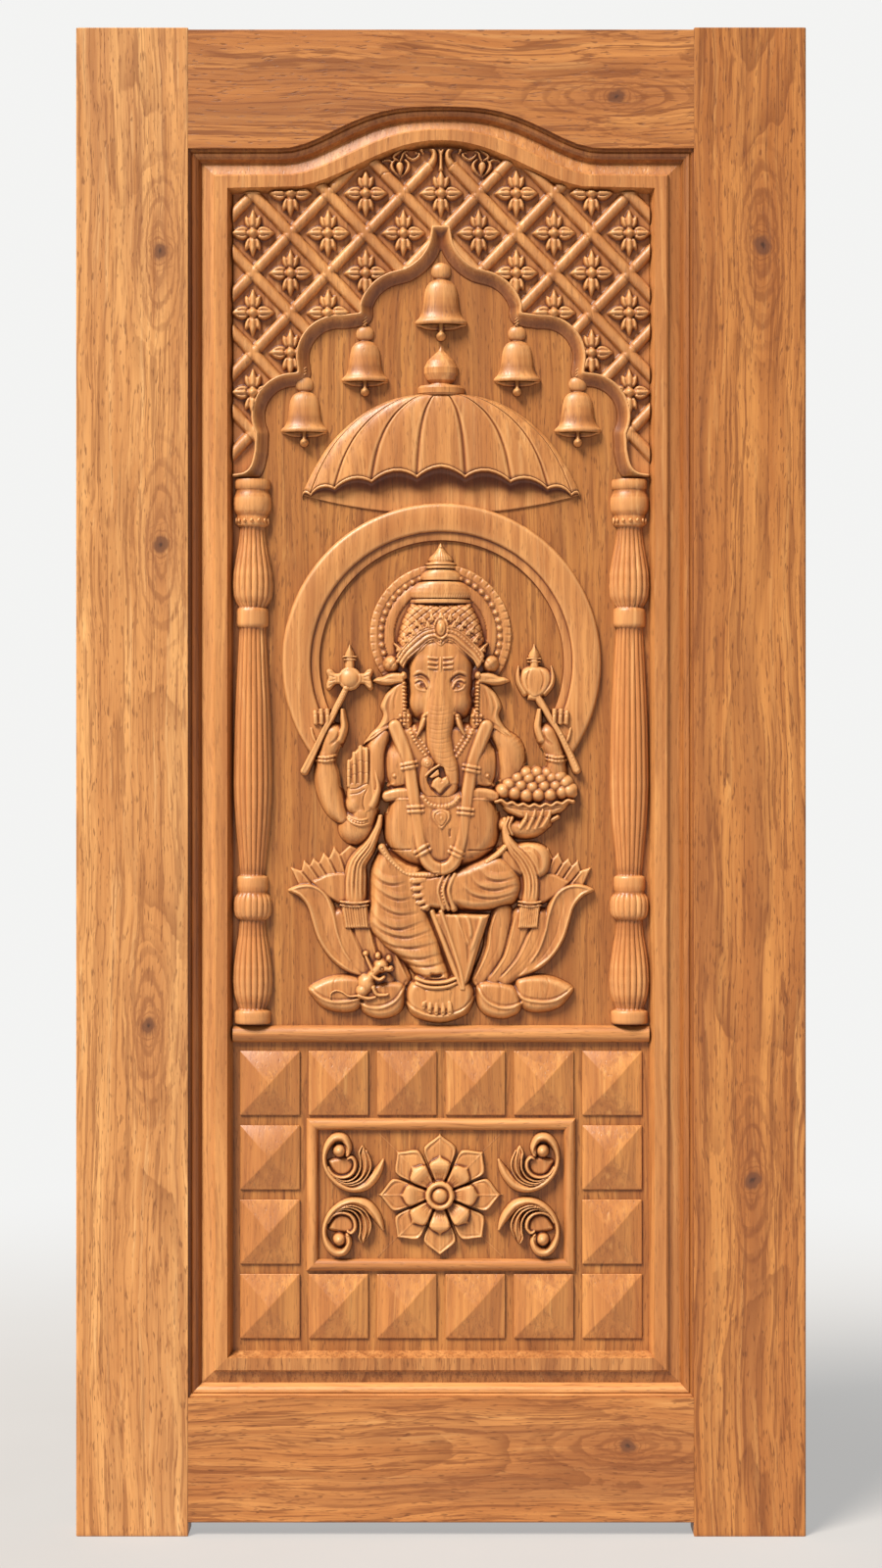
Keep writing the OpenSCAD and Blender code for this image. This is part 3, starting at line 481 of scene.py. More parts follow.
def chest(r):
    """Upper arms, belly and chest."""
    r.tube(body_at((520, 225, 9, 12.5), (482, 295, 13.5, 15), (474, 400, 14.5, 15.2),
        (452, 520, 13, 14.6), (425, 640, 12, 14)), power=2.4)
    r.tube(body_at((1040, 222, 9, 12.5), (1102, 285, 15.5, 15), (1116, 370, 17, 15), (1106, 450, 14, 12),
        (1085, 540, 10, 9)), power=2.4)
    r.plate(body_at((560, 470), (1010, 470), (1048, 540), (1064, 600), (1068, 660), (1052, 740),
        (1010, 800), (930, 850), (785, 872), (640, 850), (560, 800), (520, 740), (506, 660), (514, 600),
        (530, 540)), 16, 15, 4, crown=6)
    r.plate(body_at((560, 205), (600, 170), (965, 170), (1008, 205), (1042, 300), (1040, 420),
        (1020, 500), (550, 500), (532, 420), (530, 300)), 14, 11, 3, crown=2)
    for sx in (-1, 1):
        r.blob(sx * 39, 263, 20.5, 26, 18.6, 7, 2.6, blend=2)
        r.ridge([[sx * 53.5, 290], [sx * 57, 275], [sx * 56, 254], [sx * 53, 244]], 1.7, -2.2, taper=0.2)
        r.ridge([[sx * 53, 244], [sx * 46, 241.4], [sx * 37, 243.6]], 1.6, -2.0, taper=0.1)
        r.blob(sx * 47.6, 253.4, 2.1, 2.1, 18.4, 15)
        r.ridge(circle(sx * 47.6, 253.4, sx * 3.2, 3.2, 16), 0.7, -0.5, n=1)
    r.ridge(legs_at((512, 68), (580, 79), (650, 78)), 1.1, -1.9, taper=0.12)
    r.ridge(legs_at((905, 82), (980, 80), (1048, 62)), 1.1, -1.9, taper=0.12)
    r.ridge([[9.4, 198], [9, 192]], 1.7, -1.5, n=1)


def chest_band(r):
    """Band under the chest."""
    for sx in (-1, 1):
        r.tube([[sx * 27, 235, 8.0, 19], [sx * 43, 234.8, 7.6, 18.4], [sx * 55, 232.6, 6.6, 16.6]],
            power=4, base=5)
        r.ridge([[sx * 31, 240.8], [sx * 44, 240.4], [sx * 55, 237.4]], 1.0, 0.9, taper=0.1)
        r.ridge([[sx * 31, 229.4], [sx * 44, 229.2], [sx * 55, 228]], 1.0, 0.9, taper=0.1)


def necklaces(r):
    """Bead strings, necklace and pendant."""
    for route, bead, lift in (
        (((632, 190), (655, 245), (700, 312), (748, 362)), 2.3, 2.4),
        (((658, 190), (682, 245), (728, 312)), 1.8, 1.8),
        (((940, 190), (915, 245), (868, 318), (845, 345)), 2.3, 2.4),
        (((912, 190), (888, 245), (848, 305)), 1.8, 1.8),
    ):
        r.beads(body_at(*route), 3.7, bead, lift)
    r.ridge(body_at((698, 520), (720, 552), (750, 566), (785, 572), (820, 566), (848, 552), (868, 525)),
        2.8, 2.0)
    r.beads(body_at((702, 525), (725, 550), (752, 562), (785, 566), (820, 562), (845, 550), (866, 528)),
        3.6, 1.7, 1.7)
    r.plate(body_at((744, 588), (785, 576), (826, 588), (832, 622), (810, 656), (785, 682), (760, 656),
        (738, 622)), 24.2, 3, 2, base=19)
    r.ridge(body_at((760, 600), (785, 590), (810, 600), (814, 624), (785, 660), (756, 624), (760, 600)),
        1.0, -1.2, n=3)
    r.blob(*body_at((785, 622))[0], 3, 4.4, 25.2, 21)


def garland(r):
    """Long strap with its clips."""
    strap = body_at((568, 190, 8.0, 18.8), (600, 270, 8.0, 19.8), (632, 370, 7.8, 20.6),
        (650, 480, 7.8, 21.4), (664, 580, 7.8, 22.4), (680, 690, 7.8, 23), (698, 770, 7.8, 23),
        (730, 835, 7.8, 22.8), (784, 862, 8.2, 22.6), (836, 838, 7.8, 22.8), (868, 770, 7.8, 23),
        (888, 690, 7.8, 23), (902, 580, 7.8, 22.4), (914, 480, 7.8, 21.4), (932, 370, 7.8, 20.6),
        (966, 270, 8.0, 19.8), (998, 190, 8.0, 18.8))
    r.tube(strap, power=5.0, n=5, base=9)
    r.ridge(body_at((784, 832), (784, 892)), 1.0, -1.2, n=1)
    for a, b in (
        ((598, 372), (668, 356)),
        ((600, 390), (670, 376)),
        ((628, 570), (700, 566)),
        ((630, 592), (700, 588)),
        ((660, 784), (722, 746)),
        ((670, 804), (734, 768)),
        ((892, 372), (966, 386)),
        ((890, 392), (964, 406)),
        ((866, 576), (936, 582)),
        ((864, 598), (934, 604)),
        ((832, 760), (892, 790)),
        ((822, 780), (884, 810)),
    ):
        r.ridge(body_at(a, b), 1.9, 2.2, n=1, power=3)


def waist_belt(r):
    """Beaded belt over both hips."""
    for points, half, top in (((505, 70), (535, 118), (575, 160), (622, 193), (690, 200), (765, 196)),
            3.8, 18.4), (((1088, 68), (1050, 105), (1000, 138)), 3.2, 17):
        belt = legs_at(*points)
        r.tube([p + [half, top] for p in belt], power=3.2, base=11)
        r.beads(belt, 3.4, 1.5, 1.0)
        r.ridge([[p[0] + 1.6, p[1] + 2.6] for p in belt], 0.7, 0.8)
        r.ridge([[p[0] - 1.6, p[1] - 2.6] for p in belt], 0.7, 0.8)


def torso():
    r = Relief(-92, 94, 148, 316, 0.7)
    for carve in (chest, chest_band, necklaces, garland, waist_belt):
        carve(r)
    return r


def rear_arm(flip):
    """Raised rear arm with its hand, drawn on the left."""
    x0, x1 = (60, 152) if flip is mirrored else (-152, -60)
    r = Relief(x0, x1, 205, 322, 0.6)
    r.tube(flip(body_at((322, 622, 9, 12), (290, 575, 12.5, 13), (262, 505, 14.5, 14),
        (250, 425, 15.4, 14.4), (243, 370, 13, 14.2), (241, 325, 11.4, 14))), power=2.4)
    # back of the palm and thumb side
    r.tube(flip(body_at((243, 325, 11.4, 14), (262, 270, 13.5, 15), (275, 225, 13, 15))),
        power=2.4, blend=2)
    r.tube(flip(body_at((305, 250, 6.5, 14.5), (325, 195, 5.2, 15), (322, 150, 4.4, 15),
        (318, 110, 3.4, 14))), power=2.2, blend=2)
    r.ridge(flip(body_at((255, 280), (290, 250), (306, 215))), 2.0, -1.6, taper=0.3)
    return r


def rear_fingers(r, flip):
    """Finger tips that close over a handle, and the bracelets."""
    r.plate(flip(body_at((176, 128), (190, 112), (250, 98), (264, 112), (264, 180), (240, 190),
        (178, 185))), 12.6, 3, 1)
    for x, top in ((190, 122), (218, 112), (247, 106)):
        r.tube(flip(body_at((x, top, 3.0, 15.6), (x + 2, 145, 3.3, 16.6), (x + 3, 172, 3.2, 15.4))),
            power=3.2, base=7)
        r.ridge(flip(body_at((x - 10, 138), (x, 134), (x + 11, 138))), 0.8, -0.7, taper=0.2)
    r.tube(flip(body_at((172, 200, 3.0, 13), (180, 235, 3.6, 13.4), (192, 262, 3.2, 13))), power=2.2)
    for k in (0, 1):
        y = 320 + 17 * k
        route = flip(body_at((180, y + 8), (240, y + 17), (300, y + 2)))
        r.ridge(route, 1.9, 2.6)
        r.beads(route, 3.0, 1.2, 0.9)


def held_axe():
    """Axe in the rear hand on the left."""
    r = Relief(-152, -62, 250, 392, 0.6)
    handle = body_at((140, 400, 5, 12.6), (175, 330, 4.8, 13.6), (225, 225, 4.4, 15.4),
        (275, 130, 4.2, 14.4), (318, 45, 3.8, 13.4), (338, 2, 3.8, 13))
    r.tube(handle, power=4.0)
    for side in (1, -1):
        r.ridge([[p[0] + side * 3.0, p[1] + side * 1.2] for p in handle], 0.8, 0.9)
    r.beads([p[:2] for p in handle[3:]], 3.0, 1.2, 0.8)
    # axe head seen end on: hub between two fan blades, finial above
    cx, cy = -93.6, 353
    for sx in (-1, 1):
        r.plate([[cx + sx * 8, cy + 6], [cx + sx * 14, cy + 6.4], [cx + sx * 18, cy + 10],
            [cx + sx * 22.4, cy + 10.6], [cx + sx * 24.6, cy + 7], [cx + sx * 22.8, cy + 1],
            [cx + sx * 24.6, cy - 5], [cx + sx * 24, cy - 11], [cx + sx * 19.6, cy - 12],
            [cx + sx * 14, cy - 6.4], [cx + sx * 8, cy - 6]], 12, 3, 3, crown=0.8)
        for t in (-8, -3, 3, 8):
            r.ridge([[cx + sx * 14, cy + t * 0.45], [cx + sx * 22, cy + t]], 0.8, -0.9, n=1, taper=0.2)
    r.blob(cx, cy, 12.6, 13, 14.6, power=5)
    r.blob(cx, cy, 9, 9.2, 17, 12.5, power=2.4)
    r.ridge(circle(cx, cy, 10.6, 10.8, 32), 1.6, 1.5, n=1)
    r.tube([[cx, 365, 5.4, 12], [cx, 373, 5.2, 12]], power=4)
    r.tube([[-99, 372.6, 1.3, 13.4], [-88, 372.6, 1.3, 13.4]], power=2)
    r.tube([[-100, 375.4, 1.3, 13.4], [-87, 375.4, 1.3, 13.4]], power=2)
    r.tube([[cx, 376, 6.5, 13.4], [cx, 380, 4.8, 13.6], [cx, 384, 2.4, 12.6], [cx, 388, 0.6, 11]],
        power=2.2)
    return r


def held_bud():
    """Lotus bud in the rear hand on the right."""
    r = Relief(62, 152, 250, 392, 0.6)
    handle = body_at((1425, 395, 5, 12.6), (1392, 320, 4.8, 13.6), (1345, 225, 4.4, 15.4),
        (1300, 150, 4.4, 14.4), (1250, 66, 4.8, 13.4), (1236, 40, 4.8, 13))
    r.tube(handle, power=4.0)
    r.ridge([[p[0] + 3.0, p[1] - 1.4] for p in handle], 0.8, 0.9)
    r.beads([[p[0] + 1, p[1]] for p in handle[:3]], 3.4, 1.0, 0.8)
    # bud: calyx, body and two side sepals, finial above
    cx = 95.6
    r.plate([[88, 331], [104, 331], [101, 340], [91, 340]], 13, 3, 2)
    r.plate([[95, 330], [107, 335], [114, 345], [115, 356], [109, 364], [96, 368], [84, 364], [79, 356],
        [80, 345], [86, 336]], 13.6, 6, 4, crown=1.8)
    r.tube([[86, 338, 4.0, 13.6], [80.5, 348, 3.8, 14.4], [79, 357, 3.0, 14], [79.5, 366, 0.8, 12]],
        power=2.2)
    r.tube([[106, 338, 4.0, 13.6], [112.5, 346, 3.8, 14.4], [114.5, 355, 3.2, 14], [113, 366, 0.8, 12]],
        power=2.2)
    r.ridge([[90, 340], [88, 352], [92, 364]], 1.2, -1.2, taper=0.2)
    r.ridge([[102, 340], [105, 352], [101, 364]], 1.2, -1.2, taper=0.2)
    r.tube([[cx, 365, 5.4, 12.4], [cx, 374, 5.0, 12.4]], power=4)
    r.tube([[89.5, 370.4, 1.3, 13.6], [101.5, 370.4, 1.3, 13.6]], power=2)
    r.tube([[89, 373.4, 1.3, 13.6], [102, 373.4, 1.3, 13.6]], power=2)
    r.tube([[cx, 376, 7, 13.6], [cx, 380, 5.2, 13.8], [cx, 384, 2.4, 12.6], [cx, 388.5, 0.6, 11]],
        power=2.2)
    return r


def blessing_arm():
    """Front arm on the left with the open palm."""
    r = Relief(-108, -56, 176, 290, 0.6)
    r.blob(-86, 201, 20.5, 20, 15.6, power=2.6)
    r.tube(body_at((400, 640, 14, 15.8), (408, 600, 13, 16.4)), power=2.4, blend=2)
    r.plate(body_at((336, 352), (352, 338), (374, 304), (402, 276), (434, 284), (450, 318), (452, 470),
        (336, 480)), 14.0, 3, 1)
    r.plate(body_at((332, 470), (338, 440), (440, 440), (480, 468), (504, 488), (500, 540), (472, 590),
        (440, 614), (370, 614), (345, 580), (333, 530)), 14.4, 6, 3, crown=1.6)
    for (x0, y0), (x1, y1), w in (
        ((350, 350), (350, 470), 2.9),
        ((375, 314), (377, 470), 3.1),
        ((404, 285), (405, 470), 3.15),
        ((433, 293), (434, 470), 3.15),
    ):
        r.tube(body_at((x0, y0 + 4, w * 0.84, 15), (x0, y0 + 34, w, 16.4), (x1, y1 - 40, w, 16.6),
            (x1, y1, w * 0.9, 15.2)), power=3.0, base=6)
        for t in (0.36, 0.66):
            xm, ym = x0 + (x1 - x0) * t, y0 + (y1 - y0) * t
            r.ridge(body_at((xm - 14, ym + 2), (xm, ym - 1), (xm + 14, ym + 2)), 0.8, -0.8, taper=0.2)
    r.tube(body_at((474, 398, 2.9, 15.6), (480, 430, 3.8, 16.8), (487, 480, 4.8, 17.4),
        (472, 530, 6.8, 17.6), (455, 562, 7.2, 17)), power=2.4, blend=1)
    r.blob(*body_at((376, 556))[0], 8, 10, 17, 10, blend=2)
    r.ridge(body_at((345, 484), (385, 482), (420, 464), (445, 456)), 0.9, -1.3, taper=0.15)
    r.ridge(body_at((346, 510), (395, 503), (430, 480)), 0.9, -1.2, taper=0.15)
    r.ridge(body_at((440, 475), (420, 520), (416, 560), (428, 592)), 1.0, -1.4, taper=0.15)
    for k in (0, 1, 2):
        y = 612 + 12 * k
        route = body_at((338, y - 18), (362, y + 6), (402, y + 20), (440, y + 12), (468, y - 6))
        r.ridge(route, 1.4, 2.6 if k != 1 else 1.7)
        if k == 1:
            r.beads(route, 2.9, 1.2, 0.9)
    return r


def bowl_arm():
    """Front arm on the right with the bowl of sweets."""
    r = Relief(54, 140, 184, 266, 0.6)
    r.tube(body_at((1085, 655, 9, 13.6), (1145, 672, 11, 15), (1215, 665, 12, 15.6),
        (1275, 636, 9, 14.8)), power=2.4)
    for x, top in ((1112, 17), (1096, 16.6)):
        r.tube(body_at((x + 8, 622, 2.4, top - 1), (x - 6, 660, 2.6, top), (x + 8, 698, 2.4, top - 1)),
            power=2.2, base=6)
    # bowl with a waved rim
    r.plate(body_at((1045, 530), (1062, 565), (1100, 605), (1160, 632), (1225, 640), (1290, 630),
        (1350, 602), (1392, 562), (1408, 528), (1225, 545)), 15.4, 6, 3, crown=1.8)
    # heap of sweets, the lowest row in front
    for y, top, row in (
        (255.5, 16, (87, 98.5, 109)),
        (249.5, 17.4, (78, 90, 102, 113.4, 121)),
        (241.5, 18.8, (70, 81.6, 93.6, 105.6, 117.4, 127)),
        (233.4, 20.2, (63.6, 75.4, 87.4, 99.6, 111.8, 123.6, 131.5)),
    ):
        for k, x in enumerate(row):
            r.blob(x, y + 0.9 * (k % 2) + 0.004 * (x - 97) ** 2, 7.2, 7.1, top, top - 7.5, 2.2)
    rim = [[1042 + 366 * t, 538 + 26 * np.sin(np.pi * t) + 5.5 * np.cos(t * 2 * np.pi * 7)]
        for t in np.linspace(0, 1, 57)]
    r.tube([p + [2.4, 19.4] for p in body_at(*rim)], n=1, power=2.4, base=6)
    r.ridge(body_at(*[[1050 + 350 * t, 558 + 28 * np.sin(np.pi * t)] for t in np.linspace(0, 1, 20)]),
        1.0, -1.1, n=1)
    # fingers over the bowl
    r.plate(body_at((1150, 680), (1178, 604), (1228, 578), (1300, 580), (1312, 600), (1280, 676)),
        15.6, 3, 2)
    for (x0, y0), (x1, y1) in (
        ((1190, 602), (1158, 668)),
        ((1228, 588), (1194, 674)),
        ((1264, 582), (1230, 670)),
        ((1298, 590), (1264, 660)),
    ):
        r.tube(body_at((x0, y0, 2.8, 17.8), (x0 - 8, y0 + 28, 3.5, 19), (x1, y1, 3.6, 17)),
            power=2.6, base=6)
        r.ridge(body_at((x0 - 21, y0 + 28), (x0 - 7, y0 + 31), (x0 + 8, y0 + 36)), 0.8, -0.8, taper=0.2)
    r.tube(body_at((1334, 616, 3.4, 16), (1306, 630, 3.6, 16)), power=2.2)
    return r


def folds(r, routes, half, rise):
    """Soft cloth folds: a rounded crest with a hollow under it."""
    for k, route in enumerate(routes):
        size = 1 + 0.25 * np.sin(2.4 * k + 0.6)
        r.ridge(route, half * 1.5 * size, rise * size, taper=0.42)
        r.ridge([[p[0], p[1] - half * size * 1.2] for p in route], half * 0.62, -rise * 0.9, taper=0.36)


def thighs(r):
    """Far knee, folded leg and hanging leg, with the folds of the cloth."""
    r.plate(legs_at((1040, 70), (1150, 42), (1220, 38), (1280, 60), (1310, 110), (1308, 170),
        (1275, 218), (1200, 230), (1080, 180)), 14.6, 9, 3, crown=2.4)
    r.ridge(legs_at((1150, 78), (1210, 75), (1245, 110), (1255, 170)), 2.4, -1.8, taper=0.25)
    # folded leg
    r.plate(legs_at((752, 190), (800, 170), (870, 150), (955, 118), (1045, 84), (1115, 112), (1165, 180),
        (1180, 260), (1145, 330), (1060, 362), (960, 378), (860, 372), (775, 360)),
        16.5, 13, 3, crown=4.4)
    folds(r, [
        legs_at((955, 152), (1005, 198), (1070, 208), (1140, 188)),
        legs_at((905, 172), (960, 234), (1045, 252), (1150, 222)),
        legs_at((862, 215), (930, 280), (1040, 296), (1165, 258)),
        legs_at((848, 296), (905, 340), (1010, 346), (1130, 312)),
    ], 3.0, 1.6)
    # thigh and hanging leg
    r.plate(legs_at((445, 190), (466, 120), (505, 62), (560, 88), (630, 132), (700, 160), (735, 300),
        (745, 390), (790, 500), (812, 600), (850, 695), (840, 720), (690, 720), (670, 690), (620, 632),
        (520, 562), (430, 452), (425, 380), (440, 300)), 16, 13, 3, crown=4.4)
    folds(r, [
        legs_at((448, 160), (500, 208), (560, 226), (625, 212)),
        legs_at((445, 215), (520, 276), (590, 300), (655, 285)),
        legs_at((450, 275), (510, 340), (590, 372), (690, 360)),
        legs_at((440, 335), (510, 412), (600, 432), (722, 388)),
        legs_at((436, 392), (520, 458), (630, 480), (752, 440)),
        legs_at((446, 448), (540, 512), (650, 526), (772, 500)),
        legs_at((490, 505), (590, 562), (690, 574), (795, 548)),
        legs_at((560, 572), (650, 612), (730, 618), (808, 596)),
        legs_at((640, 640), (705, 656), (770, 652), (826, 634)),
    ], 3.1, 1.6)


def folded_foot(r):
    """Foot of the folded leg, with toes and anklet."""
    r.plate(legs_at((636, 222), (650, 208), (700, 200), (740, 200), (740, 366), (694, 366), (668, 344),
        (648, 310), (636, 262)), 16.8, 2.6, 2)
    r.plate(legs_at((668, 208), (730, 192), (820, 192), (836, 360), (745, 366), (700, 362), (664, 300)),
        17.6, 7, 3, crown=2.6)
    for (x0, y0), (x1, y1), w in (
        ((640, 226), (705, 222), 4.6),
        ((642, 264), (706, 258), 3.9),
        ((650, 299), (710, 290), 3.7),
        ((666, 329), (716, 318), 3.4),
        ((688, 353), (724, 342), 3.1),
    ):
        r.tube(legs_at((x0 + 8, y0, w, 19.6), (x0 + 22, y0 - 1, w, 20.4), (x1, y1, w * 0.9, 19.4)),
            power=4.0, base=8)
        r.ridge(legs_at((x0 + 2, y0 - 12), (x0 + 8, y0), (x0 + 2, y0 + 12)), 0.9, -1.0, taper=0.2)
    for x, w in ((775, 2.6), (800, 2.4), (826, 3.2)):
        r.tube(legs_at((x + 22, 196, w, 19), (x - 6, 270, w, 22), (x + 18, 356, w, 19)),
            power=2.6, base=14)
    r.beads(legs_at((808, 198), (788, 270), (806, 352)), 3.2, 1.2, 0.9)


def lap_cloth(r):
    """Cloth between the legs, pleated to a point."""
    r.plate(legs_at((722, 366), (1022, 380), (975, 520), (925, 690), (905, 742), (872, 742), (840, 640),
        (790, 500)), 15, 5, 0, crown=1)
    for route in (
        ((742, 372), (800, 520), (850, 650), (880, 735)),
        ((785, 372), (835, 520), (875, 650), (890, 735)),
    ):
        r.tube([p + [5.2, 17.4] for p in legs_at(*route)], power=2.2)
    for a, b, c in (
        ((850, 375), (890, 470), (912, 530)),
        ((900, 378), (920, 440), (925, 500)),
        ((985, 380), (955, 470), (925, 560)),
        ((1012, 384), (970, 520), (915, 710)),
    ):
        r.ridge(legs_at(a, b, c), 2.4, 1.8, taper=0.2)
    r.ridge(legs_at((1000, 395), (962, 520), (908, 700)), 1.0, -1.2, taper=0.1)
    r.ridge(legs_at((868, 400), (905, 520), (912, 620)), 1.4, -1.6, taper=0.2)


def hanging_foot(r):
    """Foot on the lotus, with toes and anklet."""
    r.plate(legs_at((700, 722), (842, 722), (850, 800), (848, 846), (760, 850), (690, 828), (692, 780)),
        16, 6, 3, crown=2)
    for (x0, y0), (x1, y1), w in (
        ((703, 830), (708, 800), 3.2),
        ((731, 848), (734, 806), 3.3),
        ((762, 858), (763, 808), 3.3),
        ((794, 860), (794, 808), 3.4),
        ((826, 856), (824, 802), 3.9),
    ):
        r.tube(legs_at((x0, y0 - 8, w, 18.4), (x0, y0 - 24, w, 19.8), (x1, y1, w * 0.9, 18.6)),
            power=4.0, base=8)
        r.ridge(legs_at((x0 - 11, y0 - 2), (x0, y0 - 11), (x0 + 11, y0 - 2)), 0.9, -1.0, taper=0.2)
    for y, w in ((695, 3.4), (718, 3.8)):
        r.tube(legs_at((672, y - 6, w, 17), (715, y + 8, w, 19.6), (765, y + 12, w, 20.4),
            (815, y + 6, w, 19.6), (852, y - 8, w, 17)), power=2.2, base=6)
    r.ridge(legs_at((730, 666), (762, 674), (794, 666)), 2.8, -4.0, taper=0.25)


def scarves(r):
    """Scarf ends with their fringes."""
    for edge in (
        ((498, -78, 3, 13), (490, -35, 4.4, 14.6), (470, 8, 5.6, 15.4), (440, 70, 8.5, 15.8),
            (388, 140, 11, 15.4), (376, 210, 13.6, 15), (374, 270, 14, 14.4), (376, 322, 13.8, 14)),
        ((1086, -62, 3.4, 14), (1086, -28, 4.4, 15), (1092, 8, 5.4, 15.8), (1115, 65, 8, 17.4),
            (1170, 130, 10.5, 17.4), (1205, 200, 11.6, 16.4), (1210, 270, 11.8, 15.4),
            (1204, 322, 11.8, 14.4)),
    ):
        route = legs_at(*edge)
        r.tube(route, power=3.4)
        line = smooth(route, 3)
        t = np.gradient(line[:, :2], axis=0)
        t = t / np.hypot(t[:, 0], t[:, 1])[:, None]
        for off, rise in ((-0.66, -1.6), (-0.3, -1.1), (0.02, -1.7), (0.34, -1.0), (0.66, -1.5)):
            shifted = line[:, :2] + np.stack([-t[:, 1], t[:, 0]], 1) * (off * line[:, 2])[:, None]
            r.ridge(shifted[2:], 1.3, rise, n=1, taper=0.2)
            r.ridge(shifted[2:] + [1.8, 0], 1.2, 0.8, n=1, taper=0.2)
    for x0, x1, x2, x3 in ((308, 442, 325, 452), (1150, 1258, 1140, 1248)):
        r.plate(legs_at((x0, 322), (x1, 322), (x1, 345), (x3, 455), (x2, 458), (x0, 345)), 12.6, 3, 0)
        r.tube(legs_at((x0 + 2, 325, 1.7, 16.4), ((x0 + x1) / 2, 332, 1.7, 16.8),
            (x1 - 2, 325, 1.7, 16.4)), power=2.0)
        r.tube(legs_at((x0 + 2, 341, 1.5, 15.6), ((x0 + x1) / 2, 348, 1.5, 16),
            (x1 - 2, 341, 1.5, 15.6)), power=2.0)
        for k in range(11):
            t = (k + 0.5) / 11
            r.ridge(legs_at((x0 + (x1 - x0) * t, 352), (x2 + (x3 - x2) * t, 452)), 1.05, 1.6, n=1)


def legs():
    r = Relief(-112, 122, 4, 214, 0.75)
    for carve in (thighs, folded_foot, lap_cloth, hanging_foot, scarves):
        carve(r)
    return r


def back_petals(r, flip):
    """Thin pointed petals far behind, their tips in a row, and a broad one behind the scarf."""
    r.plate(flip(legs_at((70, 162), (122, 176), (134, 126), (162, 150), (180, 118), (206, 138),
        (228, 92), (254, 116), (278, 64), (306, 98), (352, 56), (410, 80), (420, 300), (300, 330),
        (180, 290), (110, 250))), 5.8, 1.8)
    for notch, root in (
        ((122, 176), (215, 290)),
        ((162, 150), (245, 270)),
        ((206, 138), (275, 250)),
        ((254, 116), (315, 240)),
        ((306, 98), (352, 230)),
    ):
        (ax, ay), (bx, by) = flip(legs_at(notch, root))
        r.ridge([[ax, ay], [bx, by]], 1.2, -2.2, n=1, taper=0.12)
        side = 2.2 if bx < ax else -2.2
        r.ridge([[ax + side, ay], [bx + side, by]], 1.5, 1.1, n=1, taper=0.15)
    r.plate(flip(legs_at((170, 240), (210, 205), (250, 188), (320, 182), (420, 200), (420, 330),
        (300, 340))), 8.6, 4, 3, crown=1)


def inner_petals(r, flip):
    """Long petals, each with a raised edge."""
    for k, route in enumerate((
        ((603, 690), (528, 560), (508, 450), (493, 370)),
        ((533, 690), (448, 590), (413, 485), (403, 392)),
        ((483, 690), (388, 600), (333, 500), (309, 400)),
    )):
        path = flip(legs_at(*route))
        r.tube([p + [w, 8.8 + 0.9 * k] for p, w in zip(path, (9, 13, 14, 10))], power=3.0, base=2)
        edge = 7.6 if path[0][0] < path[-1][0] else -7.6
        r.ridge([[p[0] - edge * s, p[1]] for p, s in zip(path, (0.6, 1, 1.1, 0.8))], 1.2, 1.3, taper=0.12)
        r.ridge([[p[0] - edge * s * 1.42, p[1]] for p, s in zip(path, (0.6, 1, 1.1, 0.8))],
            1.3, -1.5, taper=0.12)
        r.ridge([[p[0] + edge * 0.1, p[1]] for p in path], 1.0, -0.5, taper=0.3)


def outer_petal(r, flip):
    """Broad petal: hollow face, raised rims and a pointed, turned-out tip."""
    r.plate(flip(legs_at((56, 272), (110, 240), (170, 236), (230, 264), (270, 312), (298, 385),
        (317, 465), (347, 550), (382, 620), (445, 694), (330, 657), (253, 592), (198, 507), (170, 420),
        (148, 352), (108, 304))), 10.6, 4, 4, crown=1.2)
    r.ridge(flip(legs_at((150, 272), (200, 312), (228, 390), (250, 480), (300, 570), (380, 650))),
        8.5, -2.2, taper=0.2, power=1.6)
    r.ridge(flip(legs_at((70, 268), (130, 252), (190, 258), (240, 300), (272, 380), (292, 470),
        (325, 560), (385, 640))), 1.5, 1.9, taper=0.08)
    r.ridge(flip(legs_at((75, 276), (120, 292), (160, 344), (184, 420), (212, 502), (266, 584),
        (350, 650))), 1.7, 2.0, taper=0.08)
    r.ridge(flip(legs_at((200, 318), (222, 400), (246, 490), (300, 580), (370, 645))),
        0.9, -0.7, taper=0.25)


def petal_edge(r, edge, rise):
    """Raised edge of a base petal and the groove over it."""
    r.ridge(edge, 1.9, rise, taper=0.06)
    r.ridge([[p[0], p[1] + 2.8] for p in edge], 1.6, -1.2, taper=0.06)


def base_petals(r, flip):
    """Two low petals at the foot."""
    r.plate(flip(legs_at((153, 732), (215, 690), (290, 668), (390, 670), (440, 700), (430, 790),
        (390, 840), (320, 854), (230, 834), (180, 787))), 11.6, 8, 4, crown=2)
    petal_edge(r, flip(legs_at((160, 735), (205, 772), (260, 796), (330, 798), (400, 780), (440, 730))),
        1.8)
    r.ridge(flip(legs_at((290, 675), (275, 720), (290, 790))), 1.0, -0.7, taper=0.2)
    r.plate(flip(legs_at((395, 795), (430, 720), (520, 692), (610, 700), (625, 770), (606, 835),
        (560, 872), (490, 884), (425, 862), (398, 827))), 13, 8, 4, crown=2)
    petal_edge(r, flip(legs_at((396, 800), (440, 822), (500, 826), (560, 800), (600, 750), (622, 705))),
        1.8)
    r.ridge(flip(legs_at((520, 695), (500, 740), (505, 815))), 1.0, -0.7, taper=0.2)


def lotus():
    """Lotus seat: the same petals left and right, and one under the foot."""
    r = Relief(-164, 164, -3, 188, 0.85)
    for flip in (same, mirrored):
        for carve in (back_petals, inner_petals, outer_petal, base_petals):
            carve(r, flip)
    r.plate(legs_at((608, 762), (625, 715), (660, 692), (780, 682), (900, 692), (935, 720), (948, 770),
        (930, 830), (890, 872), (780, 904), (665, 877), (622, 832)), 14.4, 9, 4, crown=2)
    petal_edge(r, legs_at((612, 790), (650, 832), (720, 862), (800, 866), (880, 844), (925, 800),
        (944, 765)), 1.7)
    return r


